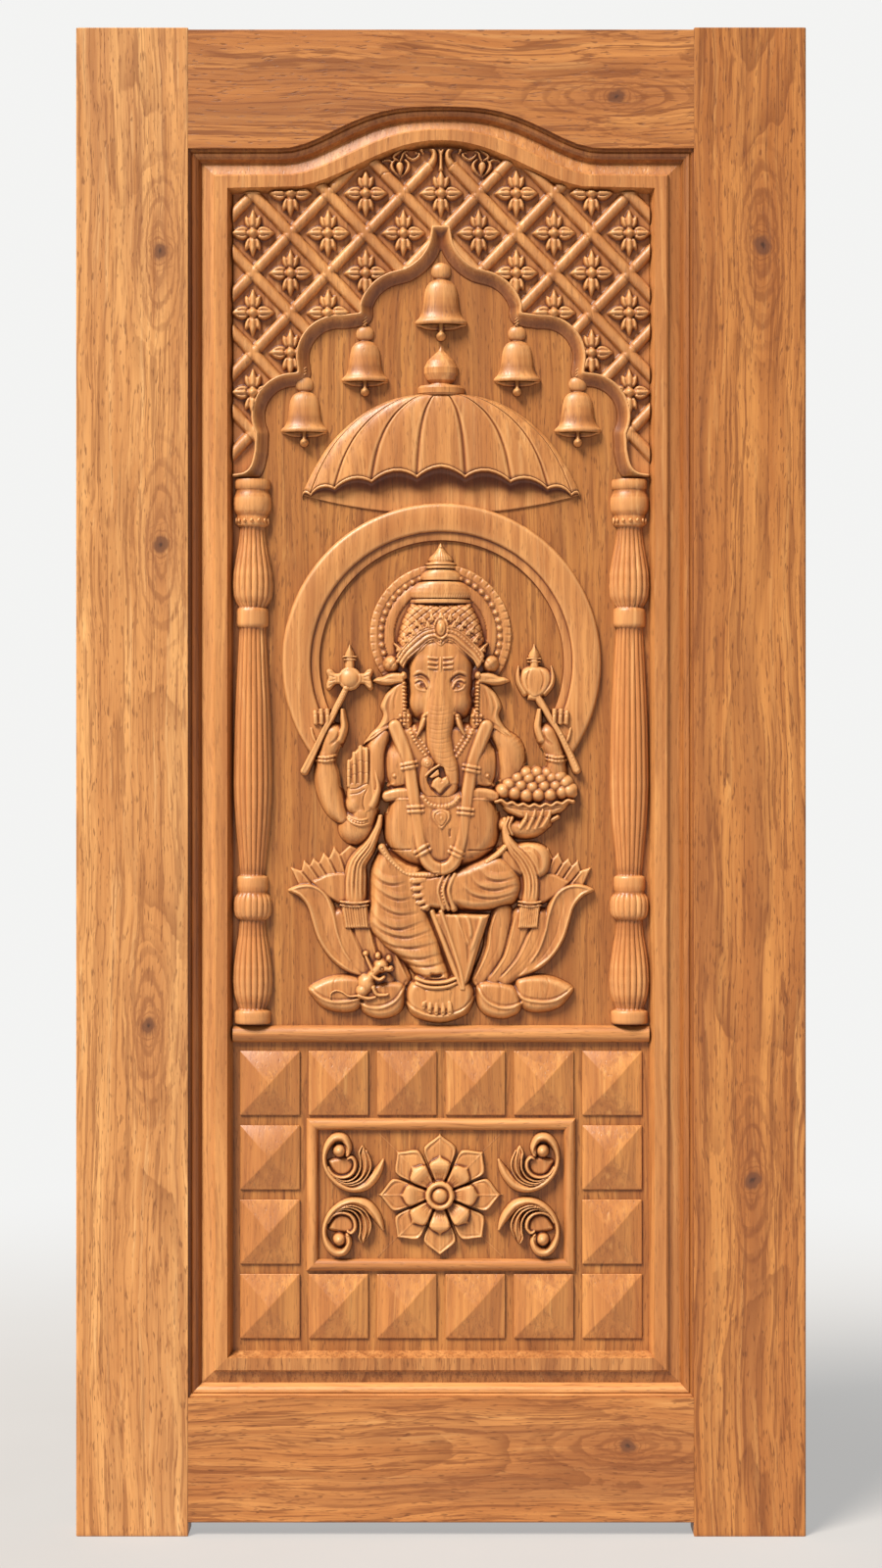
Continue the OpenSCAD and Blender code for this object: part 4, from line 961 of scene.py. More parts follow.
def mouse():
    """Mouse on the base petals, holding up a sweet."""
    r = Relief(-120, -42, 18, 82, 0.5)
    r.tube(legs_at((395, 768, 2.6, 17), (350, 770, 2.4, 16.6), (320, 752, 2.2, 16),
        (290, 744, 2.2, 15.6), (266, 756, 2.0, 15.2), (262, 780, 1.5, 15)), power=2.2)
    r.blob(*legs_at((432, 714))[0], 12.4, 15, 20.4, 2, power=2.4)
    r.blob(*legs_at((414, 744))[0], 9, 8.6, 21.2, 8, blend=2)
    r.tube(legs_at((445, 690, 8, 19.4), (470, 655, 7.4, 20), (495, 630, 8, 20.6)), power=2.4, blend=2)
    r.blob(*legs_at((500, 628))[0], 9.8, 9.0, 21.6, 6, 2.4, blend=1)
    r.tube(legs_at((515, 638, 5.6, 20.8), (538, 644, 4, 20.4), (550, 644, 2.8, 19.4)),
        power=2.4, blend=1.5)
    r.blob(*legs_at((547, 640))[0], 2.4, 2.4, 21.2, 16)
    for x, y in ((486, 582), (538, 594)):
        r.blob(*legs_at((x, y))[0], 4.0, 5.0, 20.6, 4)
        r.blob(*legs_at((x + 2, y + 2))[0], 2.2, 3.0, 19.0, 14)
        r.ridge(legs_at((x + 1, y - 6), (x + 1, y + 8)), 1.8, -1.6, n=1)
    r.ridge(legs_at((506, 640), (508, 641)), 2.7, -4.0, n=1)
    r.blob(*legs_at((507, 641))[0], 1.4, 1.4, 19.8, 17)
    r.ridge(legs_at((520, 655), (540, 657), (550, 652)), 0.8, -1.1, taper=0.15)
    r.tube(legs_at((462, 650, 3.4, 21), (440, 604, 2.8, 20.4), (430, 580, 2.4, 19.4)), power=2.4)
    r.blob(*legs_at((429, 570))[0], 4.0, 4.0, 20.8, 4)
    r.tube(legs_at((455, 668, 3.6, 21.4), (490, 692, 3.3, 21.8), (515, 680, 2.6, 21)), power=2.4)
    r.tube(legs_at((465, 730, 4.4, 20.6), (482, 762, 3.6, 19.8), (520, 764, 3.0, 19.2),
        (534, 760, 2.4, 18.8)), power=2.4)
    r.tube(legs_at((398, 768, 4.4, 19.4), (440, 780, 3.6, 19.2), (474, 774, 2.6, 18.8)), power=2.4)
    r.ridge(legs_at((462, 700), (478, 722), (474, 748)), 1.0, -1.0, taper=0.2)
    return r


def build_figure():
    """Every piece of the figure by name."""
    left, right = rear_arm(same), rear_arm(mirrored)
    rear_fingers(left, same)
    rear_fingers(right, mirrored)
    return {
        "lotus": lotus(),
        "head_halo": head_halo(),
        "rear_arm_left": left,
        "rear_arm_right": right,
        "axe": held_axe(),
        "bud": held_bud(),
        "torso": torso(),
        "legs": legs(),
        "blessing_arm": blessing_arm(),
        "bowl_arm": bowl_arm(),
        "head": head(),
        "mouse": mouse(),
    }


# Ornament: drawn in door millimetres
# Lattice: half a cell, height of a row of flowers on the door, level of its ground
cell_x = 52.6
cell_z = 55.6
lattice_z = 1872.5
lattice_ground = 4.0
# Half width and height of a lattice bar, and where the ground beside it begins
bar_r = 8.1
bar_h = 8.2
bar_foot = 8.2
# Arched head of the opening
open_z1 = 1932.0
arch_rise = 58.0
arch_half = 222.0
# Fillet and bevel of the cusped arch
fillet_w = 3.6
bevel_w = 15.0
bevel_end = 18.8
# Hub of the rosette
hub_r = 20.2
button_r = 11.4
crest_at = sheet(-122.7, 1960.86, 6.388)
lower_at = sheet(-204.5, 124.7, 3.833)


def edge_z(x, d):
    """Arched edge of the opening at depth d inside it."""
    rise = arch_rise + 10 * d / 62
    power = 1.5 - 0.5 * min(d / 62, 1)
    share = np.minimum(np.abs(x) / arch_half, 1)
    return open_z1 - d + rise * 0.5 * (1 + np.cos(np.pi * share**power))


def arch_line():
    """Outer line of the cusped arch from the left foot over the keel to the right foot."""

    def arc(cx, cz, r, first, last, n):
        turn = np.radians(np.linspace(first, last, n))
        return [[cx + r * np.cos(a), cz + r * np.sin(a)] for a in turn]

    leg = smooth([[-292, 1480], [-275, 1483], [-265.5, 1493], [-260.5, 1513]], 4).tolist()
    keel = smooth([[-60, 1765.2], [-50, 1768], [-36, 1777], [-24, 1790], [-16.5, 1806], [-13, 1827]],
        4).tolist()
    left = leg + arc(-205, 1562, 60, 205, 100, 15) + [[-200.5, 1622.7]]
    left += arc(-143, 1643, 60, 182, 85, 14) + [[-113.2, 1705.9]]
    left += arc(-50, 1700, 66, 166, 100, 10) + keel[4:]
    return np.array(left + mirrored(left)[::-1])


def arch_fields(r):
    """Distance from the outer arch line, more than nought inside the arch."""
    x, z = np.meshgrid(r.x, r.y)
    line = arch_line()
    d, _ = along(x, z, line)
    ring = np.vstack([line, [[291, 1400]], [[-291, 1400]]])
    return x, z, np.where(inside(x, z, ring), d, -d)


def cusped_arch():
    """Light fillet with a bevel that falls to the ground inside it."""
    r = Relief(-292, 292, 1464, 1832, 1.15)
    x, z, d = arch_fields(r)
    fillet = 14.0 - 0.6 * ((d - 1.7) / 1.7) ** 2
    t = np.clip((d - 3.8) / bevel_w, 0, 1)
    bevel = 12.0 - 10.6 * t**0.9 - 0.9 * np.sin(np.pi * t)
    h = np.where(d < fillet_w, fillet, bevel)
    h = np.where(d < -0.2, 13.4 + (d + 0.2) * 14, h)
    h = np.where(d > bevel_end, 1.4 - (d - bevel_end) * 5, h)
    r.h = np.clip(h, LOW, None)
    r.h[z < 1476] = LOW
    r.soften()
    # painted shade on the bevel inside the fillet
    r.shading_and_stain = -1.3 * np.clip((d - fillet_w) / 2, 0, 1)
    return r


def flower(r, x, z):
    """Four-petal lattice flower: each petal a pointed lobe between two curved ones, round eye."""
    g = lattice_ground
    # half outline, groove beside the middle lobe and crest of the side lobe, in (out, across)
    shut = ([[3, 3], [8, 8.4], [14, 10.2], [21, 8.4], [27, 4]],
            [[7, 2.4], [13, 3.7], [20, 3.1], [25, 1.6]],
            [[7, 4.6], [13, 6.9], [20, 6], [26, 2.8]])
    opened = ([[3, 3], [8, 8.6], [14, 11.4], [20, 11.8], [25, 10], [22.5, 6], [28, 3.2]],
              [[7, 2.7], [13, 4.4], [20, 4.6], [23, 4.8]],
              [[7, 5], [13, 7.8], [19, 8.6], [23.5, 8.2]])

    def turned(t, points, side=1):
        c, s = np.cos(np.radians(t)), np.sin(np.radians(t))
        return [[x + u * c - side * v * s, z + u * s + side * v * c] for u, v in points]

    for t, reach, (outline, groove, crest) in (
        (0, 31, shut),
        (180, 31, shut),
        (90, 34, opened),
        (270, 34, opened),
    ):
        ring = outline + [[reach, 0.2]] + [[u, -v] for u, v in outline[::-1]]
        r.plate(turned(t, ring), g + 8.4, 3.6, 2, crown=1.4, base=g)
        r.ridge(turned(t, [[6, 0], [13, 0], [20, 0], [reach - 4, 0]]), 3.4, 2.0, 3, taper=0.25)
        for side in (1, -1):
            r.ridge(turned(t, crest, side), 2.2, 1.0, 3, taper=0.25)
            r.ridge(turned(t, groove, side), 1.0, -1.7, 3, taper=0.15)
    r.ridge(circle(x, z, 8.4, 8.4, 12), 1.7, -2.2, 2)
    r.blob(x, z, 7.4, 7.4, g + 14, g + 5, 2.0)


def lattice_crest(r, x, z):
    """Bar ends that curl over a stalk, and two half buds, under the crown of the border."""
    g = lattice_ground
    r.h = np.where((z - np.abs(x) > 1897) & (z > 1906), g, r.h)
    for flip in (same, mirrored):
        r.plate(flip(crest_at((385, 295), (415, 278), (445, 295), (453, 330), (445, 370), (424, 416),
            (397, 372), (381, 332))), g + 9.5, 3, 2, crown=1.6, base=g - 1)
        for route in (
            ((372, 268, 1.6, g + 7), (346, 300, 2.8, g + 8), (350, 345, 3.2, g + 8),
                (385, 390, 1.8, g + 7), (416, 412, 0.8, g + 6)),
            ((462, 262, 1.6, g + 7), (494, 300, 2.8, g + 8), (490, 345, 3.2, g + 8),
                (460, 388, 1.8, g + 7), (432, 410, 0.8, g + 6)),
            ((420, 276, 1.7, g + 7.5), (436, 240, 2, g + 8), (448, 205, 2, g + 8),
                (482, 184, 1.2, g + 7)),
            ((468, 212, 1.4, g + 7.5), (492, 245, 2, g + 8.2), (532, 264, 2.2, g + 8.4),
                (574, 244, 2.1, g + 8.2), (590, 214, 1.7, g + 8), (556, 200, 1.2, g + 7)),
            ((398, 268, 1.8, g + 7.5), (362, 246, 2.6, g + 8), (372, 222, 2.8, g + 8),
                (408, 196, 2, g + 7.5), (446, 170, 0.8, g + 6)),
            ((352, 290, 1.6, g + 7), (322, 268, 2, g + 7.4), (290, 268, 1.6, g + 7),
                (256, 276, 0.7, g + 6)),
        ):
            r.tube(flip(crest_at(*route)), 4, base=g - 1)
        r.tube(flip(crest_at((676, 330, 7, g + 8), (706, 284, 6.4, g + 9), (724, 240, 5.2, g + 10),
            (720, 196, 4.4, g + 10.4), (684, 164, 3.8, g + 10.4), (634, 162, 3.2, g + 10),
            (608, 180, 2.4, g + 9.4), (626, 206, 1.4, g + 8.4))), 5, base=g - 1)
        r.ridge(flip(crest_at((696, 272), (710, 236), (706, 200), (676, 176), (638, 172))),
            0.9, -1.5, taper=0.15)
        r.ridge(flip(crest_at((640, 296), (690, 314), (724, 362))), 1, -1.5, taper=0.15)
        r.ridge(flip(crest_at((234, 422), (270, 388), (334, 370))), 1.1, -1.8, taper=0.1)
        r.tube(flip(crest_at((780, 212, 2.2, g + 9.5), (768, 180, 2.2, g + 9.4),
            (746, 156, 1.4, g + 8))), 4, base=g - 1)
    r.tube(crest_at((784, 350, 3.4, g + 10), (784, 312, 2.6, g + 9.6), (784, 250, 2.6, g + 9.6),
        (784, 205, 2.9, g + 9.6)), 4, base=g - 1)
    r.blob(*crest_at((784, 350))[0], 3.8, 3.4, g + 10.4, g - 1, 2)


def lattice():
    """Half-round bars that cross, a flower in each cell, cut off along arch and border."""
    r = Relief(-292, 292, 1478, 1934, 1.4)
    x, z, d = arch_fields(r)
    u, v = x / cell_x, (z - lattice_z) / cell_z
    across = cell_x * cell_z / np.hypot(cell_x, cell_z)
    # distance from the middle of the nearest rising and falling bar
    rise = np.abs((u - v) - (2 * np.round((u - v - 1) / 2) + 1)) * across
    fall = np.abs((u + v) - (2 * np.round((u + v - 1) / 2) + 1)) * across
    over = bar_h * np.sqrt(np.clip(1 - (fall / bar_r) ** 2, 0, None))
    under = bar_h * np.sqrt(np.clip(1 - (rise / bar_r) ** 2, 0, None))
    dip = np.clip(1 - np.clip(fall - bar_r, 0, None) / 2.6, 0, 1)
    under = under - 2.2 * dip * (fall > bar_r - 0.3)
    free = np.minimum(rise, fall) - bar_foot
    ground = lattice_ground + 0.5 * np.clip(1 - free / 6, 0, 1) ** 2
    r.h = np.where(free > 0, ground, lattice_ground + np.clip(np.maximum(over, under), 0, None))
    for i in range(-5, 6):
        for j in range(7):
            if (i + j) % 2 == 0:
                flower(r, i * cell_x, lattice_z - j * cell_z)
    lattice_crest(r, x, z)
    out = (d > 2.4) | (z > edge_z(x, 57)) | (np.abs(x) > 294)
    r.h = np.where(out, LOW, r.h)
    return r


def rosette():
    """Eight flat petals under eight cupped ones, ring and button."""
    r = Relief(-88, 88, -90, 90, 0.9)

    def petal(turn, points):
        c, s = np.cos(np.radians(turn)), np.sin(np.radians(turn))
        return [[u * c - v * s, u * s + v * c] for u, v in points]

    outer = [[18, 6.6], [40, 15.7], [50, 19.4], [57, 22.0], [63, 22.9], [67, 22.0], [72, 17.2],
        [77, 10.2], [81, 4.8], [84.6, 0.2]]
    inner = [[14, 5.0], [20, 7.4], [30, 11.4], [38, 14.4], [43, 14.8], [47, 12.2], [50, 7.0], [52, 3.0],
        [55, 0.4]]
    x, z = np.meshgrid(r.x, r.y)
    for k in range(8):
        turn = 45 * k
        ring = petal(turn, [[u, -v] for u, v in outer] + outer[::-1])
        r.plate(ring, 8.2, 2.2, 3)
        for inset, size, half, rise in ((2.0, 0.9, 1.5, 1.7), (5.0, 0.77, 1.8, -0.8)):
            edge = [[u - inset, v * size] for u, v in outer[1:]]
            r.ridge(petal(turn, [[u, -v] for u, v in edge] + edge[::-1]), half, rise, 3)
    # cupped inner petals, swelling towards a blunt tip
    for k in range(8):
        turn = 45 * k
        c, s = np.cos(np.radians(turn)), np.sin(np.radians(turn))
        u, v = x * c + z * s, z * c - x * s
        w = np.interp(u, [q[0] for q in inner], [q[1] for q in inner], left=0, right=0)
        q = np.abs(v) / np.maximum(w, 0.3)
        swell = np.interp(u, [14, 20, 30, 38, 43, 47, 51, 55.5],
            [9, 9.4, 11.8, 15.2, 16.2, 15.2, 12.4, 8.6])
        h = swell + 1.2 * (1 - q**2) - 5.0 * np.clip((q - 0.78) / 0.22, 0, 1) ** 2
        r.h = np.where((q < 1) & (u > 12), np.maximum(r.h, h), r.h)
        # painted shadow round the inner petals
        r.shading_and_stain += np.where((q >= 0.98) & (q < 1.24) & (u > 14) & (u < 52), -1.2, 0)
        for a in (-4.2, -1.5, 1.5, 4.2):
            r.ridge(petal(turn, [[19, a * 0.7], [25, a * 0.95], [32, a * 1.4]]), 1.1, -1.5, 2, taper=0.35)
    d = np.hypot(x, z)
    ring = 19.4 - 0.26 * (d - 16.4) ** 2
    dome = 12.4 + 8.4 * np.sqrt(np.clip(1 - (d / button_r) ** 2, 0, None))
    hub = np.maximum(np.maximum(ring, np.where(d < button_r, dome, 0)), 12.0)
    r.h = np.where(d < hub_r, hub, r.h)
    # painted shade in the grooves round the ring and the button
    r.shading_and_stain += np.where((d > hub_r) & (d < 22.4) | (d > 11) & (d < 13.2), -1.4, 0)
    r.soften()
    return r


def scroll():
    """Leaf scroll of the upper left corner."""
    r = Relief(-172, -74, -1, 92, 0.8)
    at = lower_at
    # cup behind, with its bright curled edge
    r.plate(at((176, 290), (190, 335), (215, 368), (250, 382), (290, 372), (318, 340), (326, 300),
        (310, 270), (285, 268), (250, 270)), 6.5, 7, 4)
    r.tube(at((178, 330, 2.4, 9), (205, 368, 2.8, 10.4), (248, 384, 3.2, 11.4), (292, 374, 3.6, 12),
        (320, 342, 4.0, 12.6), (324, 302, 3.8, 13), (304, 276, 3.2, 13), (284, 284, 2.2, 12)), power=2.2)
    # leaf with three ribs
    r.plate(at((190, 372), (250, 408), (310, 402), (345, 365), (352, 310), (342, 260), (362, 212),
        (392, 250), (412, 300), (400, 360), (350, 412), (280, 432), (220, 412)), 9, 5, 4)
    for route, w, top in (
        (((196, 372), (262, 402), (318, 388), (350, 340), (352, 285), (346, 250), (360, 218)), 2.0, 12.4),
        (((205, 385), (275, 414), (340, 398), (376, 350), (382, 290), (368, 232)), 2.4, 13),
        (((215, 398), (290, 424), (362, 402), (400, 350), (406, 300), (384, 242)), 2.0, 12.2),
    ):
        last = len(route) - 1
        rib = []
        for k, p in enumerate(at(*route)):
            width = w * (0.5 + 0.25 * min(k, 2)) * (0.55 if k == last else 1)
            rib.append(p + [width, top - (2.5 if k in (0, last) else 0)])
        r.tube(rib, power=2.2)
    # spiral band that ends in the broad lower leaf
    r.tube(at((282, 262, 4.5, 12), (288, 222, 6.0, 13), (262, 176, 7.2, 13.4), (218, 172, 7.4, 13.4),
        (180, 208, 6.4, 13), (160, 262, 4.4, 12.4), (163, 320, 4.0, 12.2), (192, 378, 4.6, 12.4),
        (245, 424, 5.6, 12.8), (312, 444, 7.0, 13.2), (378, 428, 8.2, 13.4), (424, 384, 8.0, 13.2),
        (455, 335, 6.0, 12.4), (474, 292, 2.0, 10)), power=2.2)
    r.ridge(at((240, 408), (310, 424), (372, 404), (414, 358), (436, 316), (455, 292)),
        1.5, 1.5, taper=0.1)
    r.ridge(at((250, 420), (316, 436), (380, 414), (424, 366), (446, 320)), 1.5, -1.4, taper=0.15)
    r.ridge(at((282, 232), (262, 190), (222, 186), (190, 218), (172, 268), (176, 318)),
        2.0, -1.0, taper=0.15)
    r.blob(*at((240, 240))[0], 10.2, 10.2, 17.5, 2, 2.2)
    r.ridge(at((262, 272), (284, 250), (276, 216), (246, 198), (214, 206)), 1.4, -2.0, taper=0.1)
    return r


# Meshes
mm = 0.001
# Face of the board, and how far under it a carved mesh reaches
ground_y = -1.0
floor_h = -2.5
# A figure unit in millimetres; heights on the door of figure, halo and sunk panel
grid_unit = 671 / 492
figure_z = 713.0
halo_z = 1217.0
sunk_mid = 472.55
# Widths in millimetres over which a carving is blurred, least cells, and weights
hollow_scales = ((1.6, 1, 1.1), (5.0, 2, 0.24), (13.0, 3, 0.10))


def finish_piece(name, mesh, node, material):
    """Puts a mesh into the scene as a piece in place of a CAD node."""
    obj = bpy.data.objects.new(name, mesh)
    bpy.context.scene.collection.objects.link(obj)
    mesh.materials.append(material)
    mesh.polygons.foreach_set("use_smooth", [True] * len(mesh.polygons))
    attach(obj, "root")
    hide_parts(node)


def grid_mesh(name, points, faces, cavity):
    """Mesh whose points carry how hollow the carving is there, the measure for painted shade and
    highlight.
    """
    mesh = bpy.data.meshes.new(name)
    mesh.from_pydata(points.tolist(), [], faces.tolist())
    layer = mesh.attributes.new("cavity", "FLOAT", "POINT")
    layer.data.foreach_set("value", np.ascontiguousarray(cavity, dtype=np.float32))
    mesh.update()
    return mesh


def net(rows, columns):
    """Faces between the points of a grid, row by row."""
    j, i = np.meshgrid(np.arange(rows - 1), np.arange(columns - 1), indexing="ij")
    b = (j * columns + i).ravel()
    return np.stack([b + columns, b + columns + 1, b + 1, b], 1)


def spread(h, k):
    """Even blur over 2k + 1 cells, three times."""
    for _ in range(3):
        c = np.cumsum(np.pad(h, ((k + 1, k), (0, 0)), mode="edge"), 0)
        h = (c[2 * k + 1 :] - c[: -2 * k - 1]) / (2 * k + 1)
        c = np.cumsum(np.pad(h, ((0, 0), (k + 1, k)), mode="edge"), 1)
        h = (c[:, 2 * k + 1 :] - c[:, : -2 * k - 1]) / (2 * k + 1)
    return h


def sample(r, x, y, none):
    """Heights of a relief at other places."""
    i = np.clip((x - r.x[0]) / r.step, 0, len(r.x) - 1.001)
    j = np.clip((y - r.y[0]) / r.step, 0, len(r.y) - 1.001)
    a, b = i.astype(int), j.astype(int)
    u, v = i - a, j - b
    low = r.h[b, a] * (1 - u) + r.h[b, a + 1] * u
    high = r.h[b + 1, a] * (1 - u) + r.h[b + 1, a + 1] * u
    out = (x < r.x[0]) | (x > r.x[-1]) | (y < r.y[0]) | (y > r.y[-1])
    return np.where(out, none, low * (1 - v) + high * v)


def hollow(h, step_mm):
    """How far a surface stands over, or lies under, what is round it."""
    g = np.maximum(h, 0)
    total = 0.0
    for width, least, weight in hollow_scales:
        total = total + (g - spread(g, max(round(width / step_mm), least))) * weight
    return total


def around_cells(points):
    """Cells of a grid that have one of the marked points."""
    return points[:-1, :-1] | points[1:, :-1] | points[:-1, 1:] | points[1:, 1:]


def carved(name, r, node, material, origin, unit=1.0, flip=(1, 1), around=None, hide=None, hollow_shade_share=1.0):
    """Mesh of a relief; origin is the place of its drawing's zero on the door in millimetres."""
    h = np.maximum(r.h, floor_h)
    h[0, :] = h[-1, :] = floor_h
    h[:, 0] = h[:, -1] = floor_h
    cells = around_cells(h > floor_h)
    if hide is not None:
        cells &= around_cells(~hide)
    nx = len(r.x)
    j, i = np.nonzero(cells)
    a = j * nx + i
    quads = np.stack([a, a + 1, a + nx + 1, a + nx], 1)
    if flip[0] * flip[1] < 0:
        quads = quads[:, ::-1]
    used, quads = np.unique(quads, return_inverse=True)
    quads = quads.reshape(-1, 4)
    gx, gy = np.meshgrid(r.x, r.y)
    x = origin[0] + flip[0] * unit * gx.ravel()[used]
    z = origin[1] + flip[1] * unit * gy.ravel()[used]
    y = ground_y - h.ravel()[used]
    ground = r.h if around is None else around
    # painted shade and highlight, partly stain and wear, from how hollow the carving is, with the
    # relief's own painted marks
    cavity = (hollow_shade_share * hollow(ground, r.step * unit) + r.shading_and_stain).ravel()[used]
    mesh = grid_mesh(name, np.stack([x, y, z], 1) * mm, quads, cavity)
    finish_piece(name, mesh, node, material)


def lathe(name, profile, centre, node, material, depth, steps, wave=1.0):
    """Half-round turning: profile of [radius, height]; wave shapes the radius round the turn."""
    p = np.array(profile, float)
    n = steps + 1
    a = np.radians(np.linspace(0, 180, n))
    r = p[:, :1] * (wave * np.ones((len(p), n)))
    x = centre[0] + r * np.cos(a)
    y = ground_y - depth * r * np.sin(a)
    z = centre[1] + np.repeat(p[:, 1:2], n, 1)
    points = np.stack([x, y, z], -1).reshape(-1, 3) * mm
    # painted shade in the reed hollows and painted highlight on their crests
    groove = np.clip((r - spread(r, 2)) * 1.1, -0.9, 0.8)
    mesh = grid_mesh(name, points, net(len(p), n), groove.ravel())
    finish_piece(name, mesh, node, material)


# Wood
class Graph:
    """Short way to add shader nodes and to link them."""

    def __init__(self, name):
        self.material = bpy.data.materials.new(name)
        self.material.use_nodes = True
        self.tree = self.material.node_tree
        self.tree.nodes.clear()

    def add(self, kind, inputs=None, **settings):
        node = self.tree.nodes.new(kind)
        for key, value in settings.items():
            setattr(node, key, value)
        for key, value in (inputs or {}).items():
            if isinstance(value, bpy.types.NodeSocket):
                self.tree.links.new(value, node.inputs[key])
            else:
                node.inputs[key].default_value = value
        return node

    def math(self, operation, a, b=0.0, c=0.0):
        return self.add("ShaderNodeMath", {0: a, 1: b, 2: c}, operation=operation).outputs[0]

    def vector(self, operation, a, b=(0, 0, 0), c=(0, 0, 0)):
        out = self.add("ShaderNodeVectorMath", {0: a, 1: b, 2: c}, operation=operation).outputs
        return out["Value"] if operation == "LENGTH" else out[0]

    def span(self, value, a, b, to_a=0.0, to_b=1.0):
        """Smooth step of a value from a to b."""
        ends = {"Value": value, "From Min": a, "From Max": b, "To Min": to_a, "To Max": to_b}
        return self.add("ShaderNodeMapRange", ends, interpolation_type="SMOOTHSTEP").outputs[0]

    def noise(self, vector, scale, detail=2.0, rough=0.5, move=(0, 0, 0)):
        at = {"Vector": vector, "Location": move, "Scale": scale}
        place = self.add("ShaderNodeMapping", at).outputs[0]
        look = {"Vector": place, "Scale": 1.0, "Detail": detail, "Roughness": rough}
        return self.add("ShaderNodeTexNoise", look).outputs

    def drift(self, vector, scale, *look):
        """Noise as a vector round nought."""
        return self.vector("SUBTRACT", self.noise(vector, scale, *look)["Color"], (0.5, 0.5, 0.5))

    def mix(self, share, a, b, blend="MIX"):
        ends = {"Factor": share, 6: a, 7: b}
        return self.add("ShaderNodeMix", ends, data_type="RGBA", blend_type=blend).outputs[2]

    def tint(self, colour, mark, share, ink, blend="MIX"):
        """Lays an ink over a colour where a mark is."""
        return self.mix(self.math("MULTIPLY", mark, share), colour, ink, blend)

    def finish(self, shader):
        self.tree.links.new(shader.outputs[0], self.add("ShaderNodeOutputMaterial").inputs[0])
        return self.material


def srgb(r, g, b):
    """Colour of a shader from screen values of 0 to 255."""

    def lin(v):
        v = min(v / 255, 1)
        return v / 12.92 if v <= 0.04045 else ((v + 0.055) / 1.055) ** 2.4

    return (lin(r), lin(g), lin(b), 1.0)


# Colours of teak, which take the tone of a board
base_colour = (204, 143, 88)
gold_colour = (230, 172, 112)
pale_colour = (243, 194, 138)
streak_colour = (178, 116, 66)
late_colour = (132, 78, 40)
broad_colour = (150, 98, 64)
hair_colour = (150, 92, 48)
pore_colour = (106, 60, 28)
# painted highlight, partly wear, on what stands out
worn_highlight_colour = (250, 204, 150)
# Colours of painted shade, partly stain, in hollows and corners, which keep their own colour
hollow_shade_colour = (142, 98, 62)
corner_shade_colour = (150, 104, 66)
# Knots, from the wood round them to eye and pip, which keep their own colour
knot_halo_colour = (172, 112, 68)
knot_curl_colour = (134, 80, 44)
knot_eye_colour = (104, 62, 40)
knot_pip_colour = (48, 30, 24)


def knot_marks(g, knots, across, place, bent, bend, sway, radius):
    """Rings pushed aside by the knots, and the marks of eye, pip, halo and curls."""
    eye = pip = halo = curls = 0.0
    for kx, kz, size in knots:
        centre = (kz, 0.0, -kx) if across else (kx, 0.0, kz)
        drift = g.vector("MULTIPLY", bend, (sway, sway, 0.0))
        away = g.vector("SUBTRACT", g.vector("SUBTRACT", bent, centre), drift)
        ragged = g.drift(place, (60.0, 60.0, 40.0), 3.0, 0.6, (kx, 0, kz))
        swirl = g.vector("MULTIPLY", away, (1.0, 0.12, 0.86))
        core = g.vector("LENGTH", g.vector("MULTIPLY_ADD", ragged, (0.016, 0.0, 0.016), swirl))
        flame = g.vector("MULTIPLY", away, (1.0, 0.12, 0.27))
        far = g.vector("LENGTH", g.vector("MULTIPLY_ADD", ragged, (0.012, 0.0, 0.008), flame))
        near = g.math("POWER", 2.718, g.math("MULTIPLY", far, -1.0 / (1.25 * size)))
        radius = g.math("MULTIPLY_ADD", near, 2.7 * size, radius)
        eye = g.math("MAXIMUM", eye, g.span(core, 0.24 * size, 0.56 * size, 1.0, 0.0))
        pip = g.math("MAXIMUM", pip, g.span(core, 0.07 * size, 0.21 * size, 1.0, 0.0))
        halo = g.math("MAXIMUM", halo, g.span(far, 0.30 * size, 1.5 * size, 1.0, 0.0))
        for reach, pitch, first, last in ((core, 0.27, 0.5, 1.3), (far, 0.34, 0.7, 2.1)):
            turns = g.math("MULTIPLY", reach, 6.283 / (pitch * size))
            curl = g.span(g.math("SINE", turns), 0.1, 1.0)
            fade = g.span(reach, first * size, last * size, 1.0, 0.0)
            curls = g.math("MAXIMUM", curls, g.math("MULTIPLY", curl, fade))
    return radius, eye, pip, halo, curls


def late_wood(g, run, radius, ring, halo):
    """Dark edge of each growth ring, broken here and there, whole round a knot."""
    turns = g.math("MULTIPLY", radius, ring)
    index = g.math("FLOOR", turns)
    part = g.math("SUBTRACT", turns, index)
    edge = g.math("MULTIPLY", g.math("POWER", part, 3.0), g.span(part, 0.95, 1.0, 1.0, 0.0))
    odd = g.add("ShaderNodeTexWhiteNoise", {"W": index}, noise_dimensions="1D").outputs["Value"]
    broken = g.span(g.noise(run, (30.0, 30.0, 3.2), 2.0, move=(0, 0, 7.7))["Fac"], 0.32, 0.64)
    if halo:
        broken = g.math("MAXIMUM", broken, g.math("MULTIPLY", halo, 0.8))
    return g.math("MULTIPLY", g.math("MULTIPLY", edge, broken), g.span(odd, 0.0, 1.0, 0.35, 1.0))


def along_grain(g, run, scale, move, first, last, rough=0.6):
    """Mark in long streaks along the grain."""
    return g.span(g.noise(run, scale, 3.0, rough, move)["Fac"], first, last)


